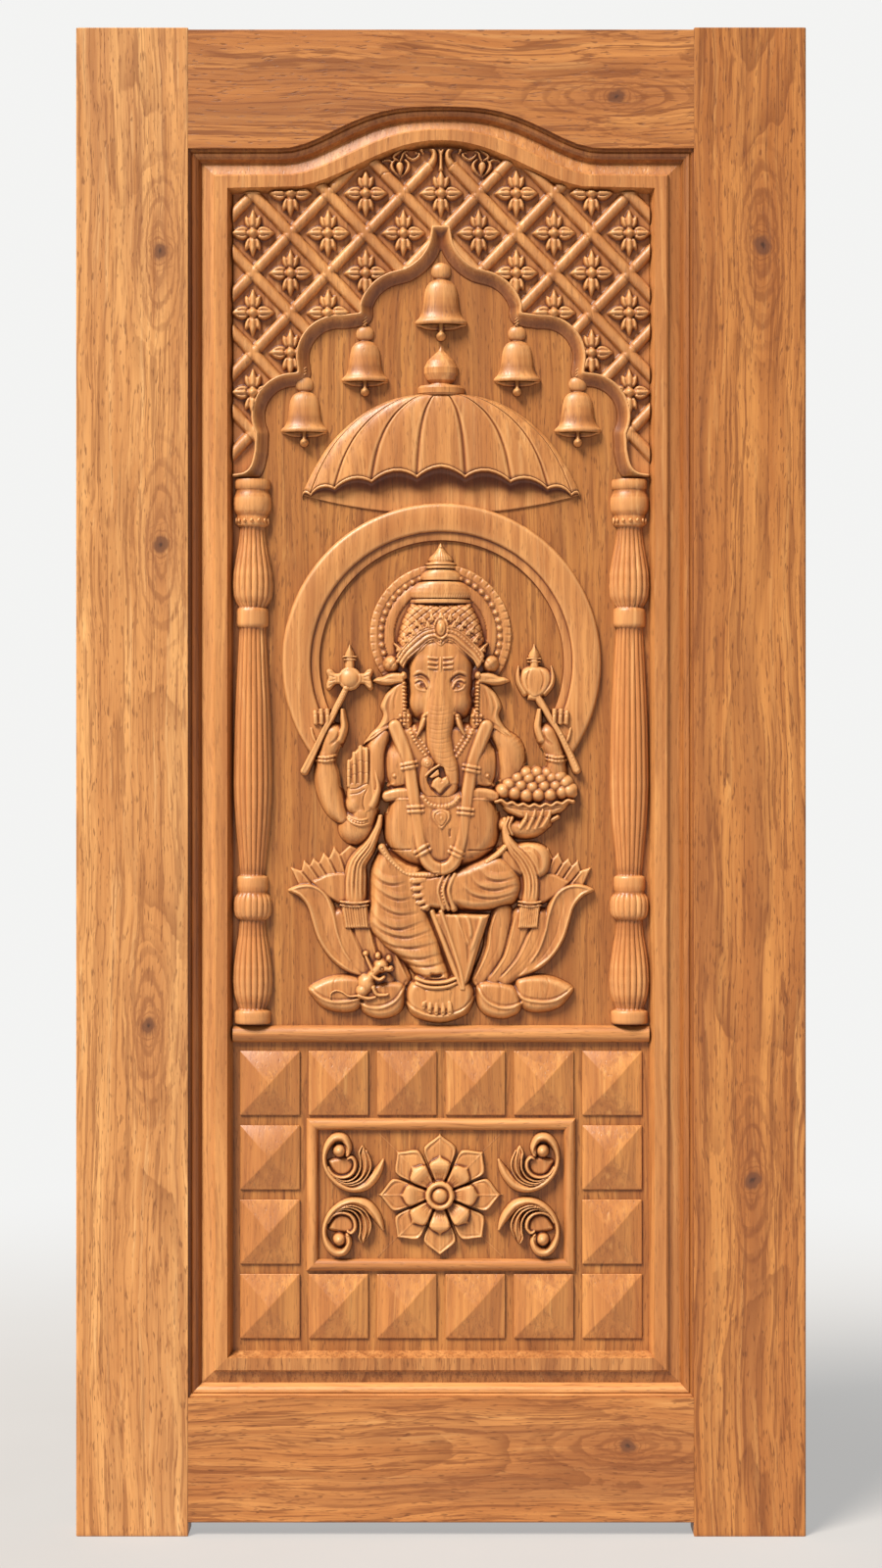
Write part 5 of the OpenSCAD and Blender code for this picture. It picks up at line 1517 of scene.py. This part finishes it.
def wood(name, tone, move, across=False, knots=(), ring=78.0, pith=(0.05, 0.16), sway=0.05,
         figure=1.0, shading_and_stain=0.62, gloss=0.5):
    """Sawn teak: growth rings round a pith behind the face, streaks, fibres, pores and knots."""

    def shade(colour):
        return srgb(*[part * share for part, share in zip(colour, tone)])

    g = Graph(name)
    place = g.add("ShaderNodeTexCoord").outputs["Object"]
    if across:
        quarter = {"Vector": place, "Rotation": (0, math.radians(90), 0)}
        place = g.add("ShaderNodeMapping", quarter).outputs[0]
    run = g.vector("ADD", place, move)
    # slow bends and small waves of the grain
    bend = g.drift(run, (6.0, 6.0, 1.7), 2.0)
    wave = g.drift(run, (38.0, 38.0, 9.0), 2.0)
    bent = g.vector("MULTIPLY_ADD", bend, (sway, sway, 0.0), place)
    bent = g.vector("MULTIPLY_ADD", wave, (0.009, 0.009, 0.0), bent)
    run = g.vector("ADD", bent, move)
    # growth rings
    flat = g.vector("MULTIPLY", bent, (1, 1, 0.012))
    radius = g.vector("LENGTH", g.vector("SUBTRACT", flat, (pith[0], pith[1], 0)))
    radius, eye, pip, halo, curls = knot_marks(g, knots, across, place, bent, bend, sway, radius)
    late = late_wood(g, run, radius, ring, halo)
    # streaks of tone, fibres and pores
    broad = along_grain(g, run, (15.0, 15.0, 0.75), (3.1, 0, 0.4), 0.48, 0.76, 0.55)
    gold = along_grain(g, run, (26.0, 26.0, 0.9), (0, 0, 5.2), 0.36, 0.66, 0.55)
    streak = along_grain(g, run, (95.0, 95.0, 2.4), (1.7, 0, 2.2), 0.34, 0.68)
    hair = g.noise(run, (330.0, 330.0, 9.0), 2.0, 0.6)["Fac"]
    line = along_grain(g, run, (210.0, 210.0, 2.6), (4.4, 0, 1.1), 0.50, 0.62, 0.65)
    pale = along_grain(g, run, (120.0, 120.0, 1.9), (8.3, 0, 3.9), 0.56, 0.72)
    pore = g.span(g.noise(run, (470.0, 470.0, 58.0), 1.0, 0.5)["Fac"], 0.61, 0.72)
    colour = g.mix(gold, shade(base_colour), shade(gold_colour))
    colour = g.tint(colour, pale, 0.62, shade(pale_colour))
    colour = g.tint(colour, streak, 0.54, shade(streak_colour))
    colour = g.tint(colour, line, 0.56 * figure, shade(late_colour))
    colour = g.tint(colour, broad, 0.56 * figure, shade(broad_colour))
    colour = g.tint(colour, late, 0.74 * figure, shade(late_colour))
    fibre = g.span(hair, 0.46, 0.74)
    colour = g.tint(colour, fibre, 0.34 * min(figure + 0.2, 1.0), shade(hair_colour))
    colour = g.tint(colour, pore, 0.60 * min(figure, 1.0), shade(pore_colour))
    if knots:
        colour = g.tint(colour, halo, 0.42, shade(knot_halo_colour))
        colour = g.tint(colour, curls, 0.50, shade(knot_curl_colour))
        colour = g.tint(colour, eye, 0.84, srgb(*knot_eye_colour))
        colour = g.tint(colour, pip, 0.9, srgb(*knot_pip_colour))
    # painted shade, partly stain, in the hollows and, from ambient occlusion, in corners; painted
    # highlight, partly wear, on what stands out
    cavity = g.add("ShaderNodeAttribute", attribute_name="cavity").outputs["Fac"]
    hollow_shade = g.span(cavity, -0.04, -2.0)
    colour = g.tint(colour, hollow_shade, 0.90, srgb(*hollow_shade_colour), "MULTIPLY")
    colour = g.tint(colour, g.span(cavity, 0.15, 1.6), 0.46, shade(worn_highlight_colour))
    sky = g.add("ShaderNodeAmbientOcclusion", {"Distance": 0.014}, samples=4).outputs["AO"]
    corner_shade = g.span(sky, 0.82, 0.25)
    colour = g.tint(colour, corner_shade, shading_and_stain, srgb(*corner_shade_colour), "MULTIPLY")
    rough = g.math("MULTIPLY_ADD", hair, 0.22, 0.30)
    grain = g.math("MULTIPLY_ADD", late, -0.3, g.math("MULTIPLY", pore, -0.9))
    grain = g.math("MULTIPLY_ADD", hair, 0.6, grain)
    relief = {"Strength": 0.32, "Distance": 0.0006, "Height": grain}
    bump = g.add("ShaderNodeBump", relief).outputs[0]
    look = {"Base Color": colour, "Roughness": rough, "Specular IOR Level": gloss, "Normal": bump}
    return g.finish(g.add("ShaderNodeBsdfPrincipled", look))


# Photograph: millimetres to a pixel, the door's middle and foot, and the height of the picture
px = 1.3636
photo_mid = 450
photo_foot = 1568
photo_high = 1600


def on_door(x, y, size):
    """A knot at a pixel of the photograph, in metres."""
    return ((x - photo_mid) * px * mm, (photo_foot - y) * px * mm, size)


pale_tone = (1.05, 1.04, 0.98)
brown_tone = (0.92, 0.83, 0.67)
rail_tone = (0.95, 0.87, 0.74)
carved_tone = (0.965, 0.90, 0.80)
board_tone = (0.865, 0.775, 0.61)
# painted shade: darker copy of the panel wood for the beads in their recess
recess_shade_tone = (0.80, 0.69, 0.54)
boss_tone = (0.95, 0.86, 0.68)
# painted shade: darker copy of the carved wood for the bottom border
sill_shade_tone = (0.90, 0.83, 0.73)
# painted shadow: a still darker copy for the left bead, in the stile's shadow
cast_shadow_tone = (0.64, 0.49, 0.31)
# painted light: a lighter copy of the panel wood for the columns, against the shade they lie in
column_lit_tone = (1.02, 0.955, 0.855)
left_knots = [on_door(163, 257, 0.026), on_door(165, 555, 0.028), on_door(152, 1047, 0.026)]
right_knots = [on_door(778, 250, 0.027), on_door(768, 1205, 0.027)]
top_knots = [on_door(630, 98, 0.025)]
bottom_knots = [on_door(640, 1475, 0.026)]
left_wood = wood("left_stile_wood", pale_tone, (0.0, 0.0, 0.0), knots=left_knots,
                 pith=(-0.40, 0.10), figure=1.05)
right_wood = wood("right_stile_wood", brown_tone, (0.7, 0.3, 2.6), knots=right_knots,
                  pith=(0.445, 0.07), figure=1.2)
top_wood = wood("top_rail_wood", rail_tone, (1.3, 0.9, 4.1), True, top_knots,
                pith=(2.03, 0.09), sway=0.07, figure=1.3)
bottom_wood = wood("bottom_rail_wood", rail_tone, (2.2, 0.4, 1.7), True, bottom_knots,
                   pith=(0.12, 0.08), sway=0.07, figure=1.3)
# Board and carving share one grain, which runs through both
panel_grain = {"move": (3.1, 0.0, 0.8), "ring": 60.0, "pith": (0.30, 0.60)}
board_wood = wood("board_wood", board_tone, figure=0.9, shading_and_stain=0.36, **panel_grain)
carved_wood = wood("carved_wood", carved_tone, figure=0.5, **panel_grain)
across_wood = wood("across_wood", carved_tone, (1.9, 0.5, 3.3), True,
                   ring=60.0, pith=(1.0, 0.4), figure=0.6)
recess_shade_wood = wood("recess_shade_wood", recess_shade_tone, figure=0.6, **panel_grain)
boss_wood = wood("boss_wood", boss_tone, (5.4, 0.2, 0.3),
                 ring=60.0, pith=(0.22, 0.5), figure=0.5, gloss=0.7)
sill_shade_wood = wood("sill_shade_wood", sill_shade_tone, figure=0.9, **panel_grain)
cast_shadow_wood = wood("cast_shadow_wood", cast_shadow_tone, figure=0.5, **panel_grain)
column_lit_wood = wood("column_lit_wood", column_lit_tone, figure=0.35, **panel_grain)

# Frame and mouldings keep their solids
node_woods = {
    "left_stile": left_wood,
    "right_stile": right_wood,
    "top_rail": top_wood,
    "bottom_rail": bottom_wood,
    "panel_board": board_wood,
    # painted shadow on the left bead, painted shade on the right and top beads
    "bead_left": cast_shadow_wood,
    "bead_right": recess_shade_wood,
    "bead_top": recess_shade_wood,
    # painted shade: the bottom border gets the darker copy
    "border_bottom": sill_shade_wood,
}
# Eased arris of the sawn boards and of the bosses, in metres
arris = 0.0016
boss_arris = 0.0008
weld_gap = 0.00002


def wood_of(name):
    """Wood of a CAD node, or none to leave it as it is."""
    if name in node_woods:
        return node_woods[name]
    if name.startswith("boss_"):
        return boss_wood
    if name.startswith(("bead_", "sunk_bead_")) and name.endswith(("top", "bottom", "rail")):
        return across_wood
    if name.startswith(("bead_", "border_", "sunk_bead_", "canopy", "bell")):
        return carved_wood
    return None


def ease(obj, width):
    """Slightly eased arris on a sawn piece."""
    weld = obj.modifiers.new("weld", "WELD")
    weld.merge_threshold = weld_gap
    bevel = obj.modifiers.new("ease", "BEVEL")
    bevel.width = width
    bevel.segments = 2
    bevel.limit_method = "ANGLE"
    bevel.angle_limit = math.radians(15)


for name, obj in nodes.items():
    material = wood_of(name)
    if material:
        obj.data.materials.clear()
        obj.data.materials.append(material)
    if name.startswith("boss_"):
        ease(obj, boss_arris)
    elif name.endswith(("_stile", "_rail")) and name != "bead_rail":
        ease(obj, arris)

# Figure and halo: the halo's points are [radius in figure units, height, painted shade and highlight],
# going outwards
halo_profile = [
    [124.6, -2, -3], [125, 3.6, -2.5], [126, 4.4, 0.4], [133, 4.6, -1.0], [134, 4.6, -2.6],
    [134.6, 7.6, 0.2], [135.6, 9.0, 1.0], [137, 9.4, 0.6], [148, 9.6, 0.0], [159, 9.4, 0.5],
    [161.5, 8.6, 1.2], [163, 6.4, 0.6], [164, 2, -1], [164.2, -2, -2],
]
halo_inner = 125
halo_step = 134
halo_outer = 164
halo_points = 249
halo_x = 0.7


def figure_pieces():
    """The figure, each piece without what others cover, with painted shade where the whole is hollow and
    painted highlight where it stands out.
    """
    parts = build_figure()
    whole = Relief(-172, 172, -6, 510, 0.8)
    gx, gy = np.meshgrid(whole.x, whole.y)
    d = np.hypot(gx - 0.5, gy - (halo_z - figure_z) / grid_unit)
    band = (d < halo_outer) & (d > halo_step)
    inner = (d <= halo_step) & (d > halo_inner)
    whole.h = np.where(band, 9.0, np.where(inner, 4.5, 0.0))
    for r in parts.values():
        whole.h = np.maximum(whole.h, sample(r, gx, gy, LOW))
    for name, r in parts.items():
        x, y = np.meshgrid(r.x, r.y)
        top = sample(whole, x, y, 0.0)
        carved(name, r, "deity_relief", carved_wood, (0.0, figure_z), grid_unit,
               around=np.maximum(top, r.h), hide=top > r.h + 2.0)


def halo_ring():
    """Flat ring behind the figure, open below, its ends splayed."""
    p = np.array(halo_profile, float)
    radius, height, shading_and_stain = p[:, :1], p[:, 1:2], p[:, 2:]
    reach = 8 * (radius - halo_inner) / (halo_outer - halo_inner)
    turn = np.radians(-30 - reach + (240 + 2 * reach) * np.linspace(0, 1, halo_points))
    x = halo_x + grid_unit * radius * np.cos(turn)
    z = halo_z + grid_unit * radius * np.sin(turn)
    y = ground_y - np.repeat(height, halo_points, 1)
    y[:, [0, -1]] = ground_y + 2
    points = np.stack([x, y, z], -1).reshape(-1, 3) * mm
    cavity = np.repeat(shading_and_stain, halo_points, 1).ravel()
    mesh = grid_mesh("halo_ring", points, net(len(p), halo_points), cavity)
    finish_piece("halo_ring", mesh, "deity_relief", carved_wood)


def ornament_pieces():
    """Lattice, arch, rosette and the four leaf scrolls."""
    carved("lattice", lattice(), "lattice_spandrel", carved_wood, (0.0, 0.0), hollow_shade_share=0.5)
    carved("arch", cusped_arch(), "cusped_arch", carved_wood, (0.0, 0.0))
    carved("rosette_flower", rosette(), "rosette", carved_wood, (-1.5, sunk_mid))
    leaf = scroll()
    for level, up in (("upper", 1), ("lower", -1)):
        for side, out in (("left", 1), ("right", -1)):
            node = f"scroll_{level}_{side}"
            carved("leaf_" + node, leaf, node, carved_wood, (0.0, sunk_mid), flip=(out, up))


figure_pieces()
halo_ring()
ornament_pieces()

# Canopy: nine gores under the finial, a rolled scalloped rim and the thin plate below it
gores = 9
gore_shares = [0, 0.025, 0.05, 0.085, 0.14, 0.22, 0.34, 0.5, 0.66, 0.78, 0.86, 0.915, 0.95, 0.975]
# Rows of [half width, height at the sides, height in the middle]
canopy_rows = [
    [34, 1592, 1592], [56, 1588.4, 1589.6], [76.7, 1582.2, 1586], [103.6, 1568.8, 1577.5],
    [130.6, 1548.5, 1566], [157.6, 1520.2, 1547], [179.1, 1485.2, 1519], [193.9, 1451.5, 1480],
]
# Places beside a seam, as shares of a gore, with the height there and the painted shade and highlight
seam_places = [0, 0.025, 0.05, 0.085, 0.14]
seam_heights = [-1.2, -0.8, 0.3, 0.5, 0.0]
seam_shading = [-1.9, -1.1, 0.9, 1.1, 0.2]
# Rim: drop, lift and painted shading of each row; plate: share of its depth, height and painted shading
rim_rows = ((-0.7, -1.5, -3.2), (-1.4, -0.4, 0.4), (-2.2, 0.7, 2.0),
            (-3.6, 0.8, 1.8), (-4.8, -0.2, 0.4), (-5.4, -2.5, -1.5))
plate_rows = ((0.12, 2.3, -2.4), (0.5, 2.4, -0.2), (0.94, 2.5, 0.2),
              (0.985, 2.5, 0.6), (1.0, 1.6, -1.0), (1.004, -2.0, -3.0))
scallop_rise = 14
lip_sag = 27.0


def canopy():
    rows = smooth(canopy_rows, 6)
    f = np.array([k + s for k in range(gores) for s in gore_shares] + [gores])
    share = f - np.floor(f)
    share[-1] = 0.0
    s = np.sin(np.radians(-90 + 180 * f / gores))
    bulge = np.sqrt(np.clip(4 * share * (1 - share), 0, 1))
    beside = np.minimum(share, 1 - share)
    depth = np.sqrt(np.clip(1 - s**2, 0, 1))
    groove = np.interp(beside, seam_places, seam_heights) * np.clip(depth + 0.25, 0, 1)
    line = np.interp(beside, seam_places, seam_shading)
    scallop = scallop_rise * (1 - 0.55 * np.abs(s)) * 4 * share * (1 - share)
    points, shading_and_stain = [], []

    def dome(t):
        return 2.6 + 18.6 * np.sin(np.radians(38 + 52 * t)) * depth * (0.9 + 0.1 * bulge) + groove

    def put(x, h, z, tone):
        points.append(np.stack([x, ground_y - h + 0 * x, z], 1))
        shading_and_stain.append(tone + 0 * x)

    for t, (w, side_z, mid_z) in zip(np.linspace(0, 1, len(rows)), rows):
        near_rim = np.clip((t - 0.72) / 0.28, 0, 1) ** 2
        z = mid_z - (mid_z - side_z) * s**2
        put(s * w, dome(t), z + scallop * near_rim, line)
    # rim and plate go on from the last row
    x = s * w
    for drop, lift, tone in rim_rows:
        put(x, dome(1.0) + lift, z + (scallop + drop), tone)
    z = z + (scallop - 5.0)
    # painted shade under the rim
    put(x, 2.3, z, -3.6)
    lip = canopy_rows[-1][1] - lip_sag * (1 - (x / w) ** 2)
    for part, h, tone in plate_rows:
        put(x, h, z + (np.minimum(lip, z) - z) * part, tone)
    quads = np.roll(net(len(points), len(f)), 1, axis=1)
    mesh = grid_mesh("canopy_gores", np.concatenate(points) * mm, quads, np.concatenate(shading_and_stain))
    finish_piece("canopy_gores", mesh, "canopy", carved_wood)


canopy()

# Bells: profiles of [radius, height] for body and knob; place and size of each bell
bell_body = [
    [30, 6.6], [33, 6.2], [35.4, 7], [36.6, 8.8], [36.4, 11], [34.8, 13], [32, 15.4], [29.6, 19],
    [27.6, 24], [26, 30], [25, 37], [24.2, 44], [23.4, 50], [22, 56.4], [19.6, 62], [16, 66.4],
    [12, 69], [8.4, 70.2],
]
bell_knob = [
    [8, 71], [9.8, 72], [12.2, 74.4], [13.8, 78], [14.2, 82], [13.4, 86.4], [11.2, 90], [8, 92.6],
    [4, 94], [0.2, 94.4],
]
bell_high = 94
bell_depth = 0.55
bells = (
    ("centre", 0, 1683, 1.0),
    ("inner_left", -106.4, 1604, 0.9),
    ("inner_right", 106.4, 1604, 0.9),
    ("outer_left", -191.4, 1533, 0.9),
    ("outer_right", 191.4, 1533, 0.9),
)


def bell_mouth():
    """Open mouth with its clapper."""
    r = Relief(-40, 40, -22, 12, 0.8)
    rim = [[-33, 8], [-28, 2.8], [-18, -0.4], [0, -1.8], [18, -0.4], [28, 2.8], [33, 8]]
    r.plate(rim, 4.5, 2.5, 3)
    # painted shade inside the mouth
    r.paint([[-26, 5], [-13, 2.6], [0, 2], [13, 2.6], [26, 5]], 5, -1.8)
    r.tube([[0, 8, 3.8, 9], [0, -1, 3.8, 11.5], [0, -5, 4.6, 13]], 4)
    r.blob(0, -8.8, 8.2, 8.4, 16, -3)
    return r


def bell_cord():
    """Short twisted cord over a side bell."""
    r = Relief(-7, 7, -2, 16, 0.6)
    for turn in range(3):
        y = 4 * turn
        r.tube([[-2.6, y, 1.4, 6.4], [0, y + 2.2, 1.7, 7.2], [2.6, y + 4.4, 1.4, 6.4]], 4)
    r.tube([[0, -2, 2.2, 5.5], [0, 14, 1.8, 5.5]], 2)
    return r


mouth = bell_mouth()
cord = bell_cord()
for name, x, z, size in bells:
    node = "bell_" + name
    profile = [[r * size, y * size] for r, y in bell_body + bell_knob]
    lathe("turned_" + node, profile, (x, z), node, carved_wood, bell_depth, 40)
    carved("mouth_" + name, mouth, node, carved_wood, (x, z), size)
    if size < 1:
        carved("cord_" + name, cord, node, carved_wood, (x, z + bell_high * size))

# Columns: turning of [height, radius, share of the reeding]
column_turning = [
    [0, 24, 0], [2, 25.4, 0], [16, 25.4, 0], [18, 24, 0], [20, 20.4, 0.6], [22, 19.5, 1],
    [30, 22.8, 1], [42, 26.2, 1], [60, 27.8, 1], [80, 26.8, 1], [97, 24.6, 1], [112, 22, 1],
    [124, 19.8, 1], [144, 18, 1], [145.5, 19.2, 0.2], [147.5, 22.4, 0.6], [152, 25.2, 0.8],
    [159, 26.6, 0.8], [170, 26.6, 0.8], [177, 25, 0.8], [181, 22.4, 0.6], [182.5, 20.6, 0],
    [185, 20.4, 0], [188, 21.6, 0], [203, 21.6, 0], [206, 20.4, 0], [207.5, 17.4, 0.4],
    [209, 17, 1], [240, 19.9, 1], [280, 24, 1], [310, 26.1, 1], [335, 26.9, 1], [370, 26.5, 1],
    [420, 25.3, 1], [460, 23.6, 1], [500, 21.4, 1], [530, 19.7, 1], [552, 18.4, 1],
    [554, 18.6, 0.2], [556, 21.4, 0], [560, 22, 0], [576, 22, 0], [580, 21.4, 0],
    [581.5, 19.2, 0.2], [583, 19.2, 1], [590, 23.8, 1], [598, 26.8, 1], [612, 28, 1],
    [630, 27.2, 1], [649, 24, 1], [672, 19.6, 1], [694, 17.2, 1], [695.5, 19.4, 0.1],
    [697.5, 21.6, 0], [709, 21.6, 0], [711, 21.8, 0], [713, 23.2, 0], [718, 25.8, 0],
    [727, 26.8, 0], [735, 26.2, 0], [742, 23.6, 0], [745, 22.4, 0], [747, 22.6, 0],
    [748.5, 24.4, 0], [758.5, 24.6, 0], [761, 23.6, 0],
]
turning_step = 4.5
column_foot = 712.0
column_x = 264.0
column_depth = 0.78
column_steps = 144
reeds = 9
collar_z = 703.2
collar_r = 21.6
collar_balls = 7


def column_rows():
    """The turning, with points between where two are far apart."""
    rows = np.array(column_turning, float)
    fine = []
    for a, b in zip(rows[:-1], rows[1:]):
        count = max(int((b[0] - a[0]) / turning_step), 1)
        fine += [a + (b - a) * t / count for t in range(count)]
    return np.array(fine + [rows[-1]])


def collar_beads():
    """Row of balls round the upper collar."""
    r = Relief(-30, 30, -9, 9, 0.7)
    for k in range(collar_balls):
        t = math.radians(180 * (k + 0.5) / collar_balls)
        top = column_depth * collar_r * math.sin(t) + 5.2
        r.blob(-22.6 * math.cos(t), 0, max(5.2 * math.sin(t), 2.6), 6.2, top, 0, 2.2)
    return r


def columns():
    height, radius, share = column_rows().T
    turn = np.radians(np.linspace(0, 180, column_steps + 1))
    wave = np.abs(np.cos(turn * reeds)) ** 0.6
    reeded = 1.02 - 0.125 * share[:, None] * (1 - wave)
    profile = np.stack([radius, height], 1)
    beads = collar_beads()
    for name, x in (("left", -column_x), ("right", column_x)):
        node = name + "_column"
        lathe(name + "_turned_column", profile, (x, column_foot), node, column_lit_wood,
              column_depth, column_steps, reeded)
        carved(node + "_beads", beads, node, column_lit_wood, (x, column_foot + collar_z))


columns()

# Stage, light and camera
scene = bpy.context.scene
background = (0.90, 0.90, 0.89, 1.0)
floor_half = 30
floor_dark = (168, 160, 152)
floor_pale = (178, 171, 164)
sky_colour = (1.0, 1.0, 1.0, 1)
sky_strength = 0.24
sun_colour = (1.0, 0.98, 0.95)
sun_strength = 5.4
sun_degrees = 22
to_light = Vector((-0.42, -0.50, 0.757))
door_front = -0.025
camera_far = 3.6
sensor = 36


def floor_material():
    """Pale floor that fades into the background away from the door and keeps its shadow."""
    g = Graph("floor")
    spot = g.add("ShaderNodeTexCoord").outputs["Object"]
    cloud = g.noise(spot, (3.0, 3.0, 3.0), 3.0)["Fac"]
    tone = g.mix(cloud, srgb(*floor_dark), srgb(*floor_pale))
    look = {"Base Color": tone, "Roughness": 0.9, "Specular IOR Level": 0.1}
    matt = g.add("ShaderNodeBsdfPrincipled", look)
    glow = g.add("ShaderNodeEmission", {"Color": background, "Strength": 1.0})
    path = g.add("ShaderNodeLightPath").outputs
    seen = g.math("MAXIMUM", path["Is Camera Ray"], path["Is Glossy Ray"])
    fade = g.math("MULTIPLY", g.span(g.vector("LENGTH", spot), 0.7, 3.2, 0.45, 1.0), seen)
    return g.finish(g.add("ShaderNodeMixShader", {0: fade, 1: matt.outputs[0], 2: glow.outputs[0]}))


def make_floor():
    mesh = bpy.data.meshes.new("floor")
    corners = [(x * floor_half, y * floor_half, 0) for x, y in ((-1, -1), (1, -1), (1, 1), (-1, 1))]
    mesh.from_pydata(corners, [], [(0, 1, 2, 3)])
    floor = bpy.data.objects.new("floor", mesh)
    scene.collection.objects.link(floor)
    mesh.materials.append(floor_material())


def make_world():
    """Soft even light; the camera sees the plain background in its place."""
    world = bpy.data.worlds.new("studio")
    world.use_nodes = True
    tree = world.node_tree
    sky = tree.nodes["Background"]
    sky.inputs["Color"].default_value = sky_colour
    sky.inputs["Strength"].default_value = sky_strength
    plain = tree.nodes.new("ShaderNodeBackground")
    plain.inputs["Color"].default_value = background
    rays = tree.nodes.new("ShaderNodeLightPath")
    both = tree.nodes.new("ShaderNodeMath")
    both.operation = "MAXIMUM"
    tree.links.new(rays.outputs["Is Camera Ray"], both.inputs[0])
    tree.links.new(rays.outputs["Is Transmission Ray"], both.inputs[1])
    blend = tree.nodes.new("ShaderNodeMixShader")
    for socket, source in zip(blend.inputs, (both, sky, plain)):
        tree.links.new(source.outputs[0], socket)
    tree.links.new(blend.outputs[0], tree.nodes["World Output"].inputs[0])
    scene.world = world


def make_sun():
    sun = bpy.data.lights.new("key", "SUN")
    sun.energy = sun_strength
    sun.angle = math.radians(sun_degrees)
    sun.color = sun_colour
    lamp = bpy.data.objects.new("key", sun)
    lamp.rotation_euler = to_light.to_track_quat("Z", "Y").to_euler()
    scene.collection.objects.link(lamp)


def make_camera():
    """Straight in front, with the photograph's frame."""
    camera = bpy.data.cameras.new("camera")
    camera.sensor_width = sensor
    camera.lens = sensor * camera_far / (photo_high * px * mm)
    stand = bpy.data.objects.new("camera", camera)
    stand.location = (0, door_front - camera_far, (photo_foot - photo_high / 2) * px * mm)
    stand.rotation_euler = (math.radians(90), 0, 0)
    scene.collection.objects.link(stand)
    scene.camera = stand


make_floor()
scene.view_settings.view_transform = "Standard"
make_world()
make_sun()
make_camera()
